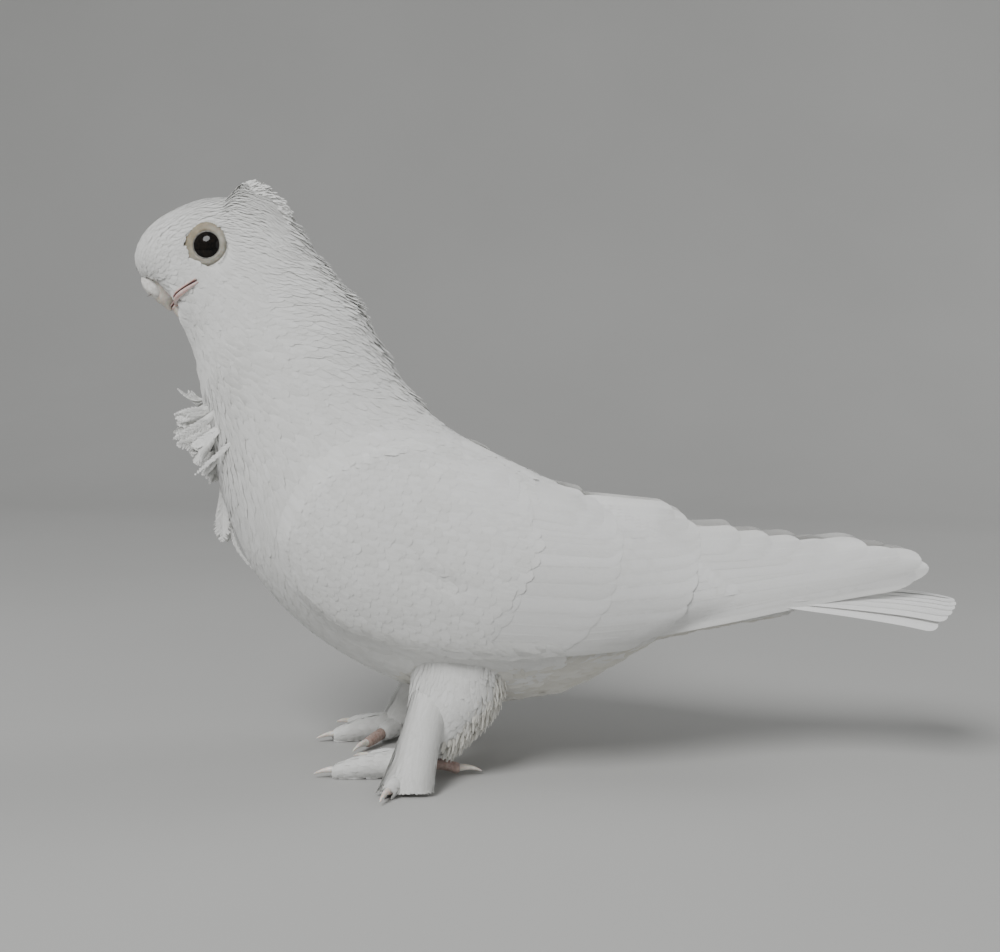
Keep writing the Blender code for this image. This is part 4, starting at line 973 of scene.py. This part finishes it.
for name, side in SIDES.items():
    at, out = EYE_CENTRE * (1, -side, 1), EYE_AXIS * (1, -side, 1)
    front = unit(np.cross(out, UP)) * -side
    top = unit(np.cross(front, out)) * -side

    def disc(r, a, high):
        return at + front * (r * np.cos(a))[:, None] + top * (r * np.sin(a))[:, None] + out * high[:, None]

    def globe(a, t):
        return disc(GLOBE_RADIUS * np.sin(t * pi), a, 3.6 * np.cos(t * pi))

    def fold(a, t):
        s = t * tau
        wider = 0.7 + 0.3 * np.cos(a - 2.2)
        across = (1 - np.cos(s)) / 2
        r = RING_RADIUS + RING_WIDE * across * (0.94 + 0.06 * wider)
        folds = 0.05 * np.sin(across * 15 + np.sin(a * 3)) + 0.03 * np.sin(a * 23 + across * 6) * across
        high = np.where(s < pi,
                        RING_OUT + 0.8 * np.sin(s) ** 0.8 * wider - RING_FALL * across**2 + folds,
                        RING_OUT - RING_FALL * across**2 - 3.6 * np.abs(np.sin(s)) ** 0.5)
        return disc(r, a, high) + (front * RING_AHEAD + top * RING_ABOVE) * across[:, None]

    def lid(a, t):
        s = t * tau
        return disc(LID_RADIUS + 0.28 * np.cos(s), a, LID_OUT + 0.26 * np.sin(s))

    worn(wrapped("eye_globe_" + name, 64, 32, globe), "eye", wet, f"eye_{name}")
    flesh = wrapped("eye_flesh_" + name, 96, 64, fold)
    worn(flesh, "cere", bare_flesh, f"eye_ring_{name}")
    off = (points_of(flesh) - to_frame(at)) * 1000
    warm = smooth(-4, 9, off @ (front * 0.75 + top * 0.65)).astype(np.float32)
    flesh.data.attributes.new("tone", "FLOAT", "POINT").data.foreach_set("value", warm)
    worn(wrapped("eye_lid_" + name, 72, 12, lid), "cere", lid_skin)


# The bill and the mouth.
# A short thick bill of pale horn under two whitish lobes of the cere. The mouth is a dark curved slit that
# runs back under the cheek, and its soft pink lips show on both sides of it. The dark of the slit is painted
# shade in the crease, with a faint red of the inside of the mouth; the nostrils are dark blobs of painted
# shade.
UPPER_BILL = np.array((  # x and z in front, x and z behind, half width
    (-153, 184.5, -137, 186.5, 5.2), (-153.6, 180.6, -135.2, 181.6, 5.6),
    (-152.2, 176.6, -138.8, 176.8, 4.8), (-149.4, 173, -141.6, 173.6, 3.6),
    (-146.6, 170.9, -143.3, 171.6, 2.2), (-144.6, 169.4, -143.5, 169.7, 0.9),
))
LOWER_BILL = np.array((
    (-135.4, 182, -130.6, 169.5, 4.7), (-138.6, 178, -135, 166.4, 4.5), (-141, 174.6, -139.2, 165.4, 3.8),
    (-142.4, 172.2, -141.4, 167.2, 2.8), (-143.1, 170.4, -142.6, 168.6, 1.3),
))
BILL_FULLNESS = 0.85
LIP_ROWS = ((0.9, 0.9), (-0.55, 0.4))  # shift and radius
SLIT_SHIFT, SLIT_ROUND = 0.05, 0.56
LOBE_AT, NOSTRIL_AT = (-150.2, 2.5, 178.4), (-150.6, 4.35, 175.0)
bill_horn = mottled("pale bill horn", (0.54, 0.48, 0.42), (0.74, 0.69, 0.62), 420, 0.15, 0.38, 0.2)
lip_pink = mottled("pink lips", (0.60, 0.41, 0.38), (0.76, 0.62, 0.58), 600, 0.2, 0.45, 0.3)
chalky = mottled("chalky cere", (0.62, 0.60, 0.56), (0.84, 0.83, 0.80), 800, 0.4, 0.7)
# Painted shade: near black with a faint red, for the shade in the crease of the mouth and in the nostrils.
painted_mouth_shade = mottled("painted shade of mouth and nostrils", (0.02, 0.008, 0.008), (0.10, 0.025, 0.02), 700, 0.2, 0.5)


def bill(rows):
    def place(a, t):
        x0, z0, x1, z1, wide = np.moveaxis(spline(rows, t * (len(rows) - 1)), -1, 0)
        along, across = (np.sign(k) * np.abs(k) ** BILL_FULLNESS for k in (np.cos(a), np.sin(a)))
        x, z = (x0 + x1) / 2 + (x0 - x1) / 2 * along, (z0 + z1) / 2 + (z0 - z1) / 2 * along
        return np.stack((x, wide * across, z), -1)
    return place


def lip(side, shift, radius):
    """A strand along the mouth, shifted in front of it and below."""
    def axis(t):
        at = spline(MOUTH, t * (len(MOUTH) - 1))
        y = looked_up(soft_body, at[:, 0], at[:, 1])
        y = np.maximum(y, 2.2 + 3.0 * smooth(0.0, 0.5, t))
        return np.stack((at[:, 0] + shift * 0.55, side * (y + 0.1), at[:, 1] - shift * 0.85), -1)

    def taper(a, t):
        return radius * (0.15 + 0.85 * np.sin(np.clip(t, 0, 1) ** 0.8 * pi) ** 0.8) + 0 * a
    return tube(axis, taper)


worn(wrapped("upper_bill", 48, 60, bill(UPPER_BILL)), "bill_horn", bill_horn, "bill_upper")
worn(wrapped("lower_bill", 48, 50, bill(LOWER_BILL)), "bill_horn", bill_horn, "bill_lower")
lobes, lips, dark = [], [], []
for side in SIDES.values():
    def lobe(a, t):
        r = np.sin(t * pi)
        bumps = 1 + r * (0.03 * np.sin(a * 7 + t * 9) + 0.02 * np.sin(a * 13 - t * 21))
        long, thick = 5.4 * np.cos(t * pi) * bumps, 3.3 * r * np.cos(a) * bumps
        off = (-0.62 * long + 0.78 * thick, -3.1 * r * np.sin(a) * bumps, 0.78 * long + 0.62 * thick)
        return np.array(LOBE_AT) * (1, side, 1) + np.stack(off, -1)

    def nostril(a, t):
        r, long = np.sin(t * pi), np.cos(t * pi)
        off = (0.4 * r * np.cos(a) - 1.3 * long, 0.5 * r * np.sin(a), -0.7 * long + 0.2 * r * np.cos(a))
        return np.array(NOSTRIL_AT) * (1, side, 1) + np.stack(off, -1)

    lobes.append(wrapped("lobe", 40, 32, lobe))
    lips += [wrapped("lip", 16, 50, lip(side, shift, radius)) for shift, radius in LIP_ROWS]
    # The slit along the mouth and a blob in each nostril carry the painted shade.
    dark += [wrapped("slit", 12, 50, lip(side, SLIT_SHIFT, SLIT_ROUND)), wrapped("nostril", 16, 16, nostril)]
worn(joined("cere_lobes", *lobes), "cere", chalky, "cere")
worn(joined("lips", *lips), "toe_skin", lip_pink)
worn(joined("mouth_and_nostrils", *dark), "eye", painted_mouth_shade)


# The floor and the lights.
# A plain pale floor that sweeps up behind, and soft light from large lamps in front, beside and behind.
FLOOR_WIDE, FLOOR_LONG, FLOOR_FROM = 12000, 9600, -2800
FLAT, BEND, BEND_RADIUS, FRONT = 3600, 1200, 764, -2600
floor, flat = new_grid("floor", 24, 220)
run = (flat[:, 1] + 0.5) * FLOOR_LONG + FLOOR_FROM
turn = np.clip((run - FLAT) / BEND, 0, 1) * pi / 2
y = FRONT + np.minimum(run, FLAT) + np.sin(turn) * BEND_RADIUS
z = (1 - np.cos(turn)) * BEND_RADIUS + np.maximum(run - FLAT - BEND, 0)
floor.data.vertices.foreach_set("co", (np.stack((flat[:, 0] * FLOOR_WIDE, y, z), -1) * 0.001).ravel())
bpy.ops.object.shade_smooth()
pale = mottled("pale floor", (0.41, 0.41, 0.40), (0.43, 0.43, 0.42), 3, 0.0, 0.9)
floor.data.materials.append(pale)

for name, place, aim, size, power in (("key", (-0.75, -1.15, 1.45), (-0.02, 0, 0.1), 0.9, 34),
                                      ("fill", (1.3, -1.2, 0.7), (0, 0, 0.1), 1.6, 5),
                                      ("rim", (1.9, 0.7, 1.2), (0, 0, 0.1), 1.2, 14)):
    bpy.ops.object.light_add(type="AREA", location=place)
    lamp = bpy.context.object
    lamp.name, lamp.data.shape, lamp.data.size, lamp.data.energy = name, "DISK", size, power
    lamp.rotation_euler = (Vector(aim) - Vector(place)).to_track_quat("-Z", "Y").to_euler()
world = bpy.data.worlds.new("studio")
world.use_nodes = True
backdrop = world.node_tree.nodes["Background"].inputs
backdrop["Color"].default_value, backdrop["Strength"].default_value = (0.78, 0.79, 0.80, 1), 0.42
bpy.context.scene.world = world
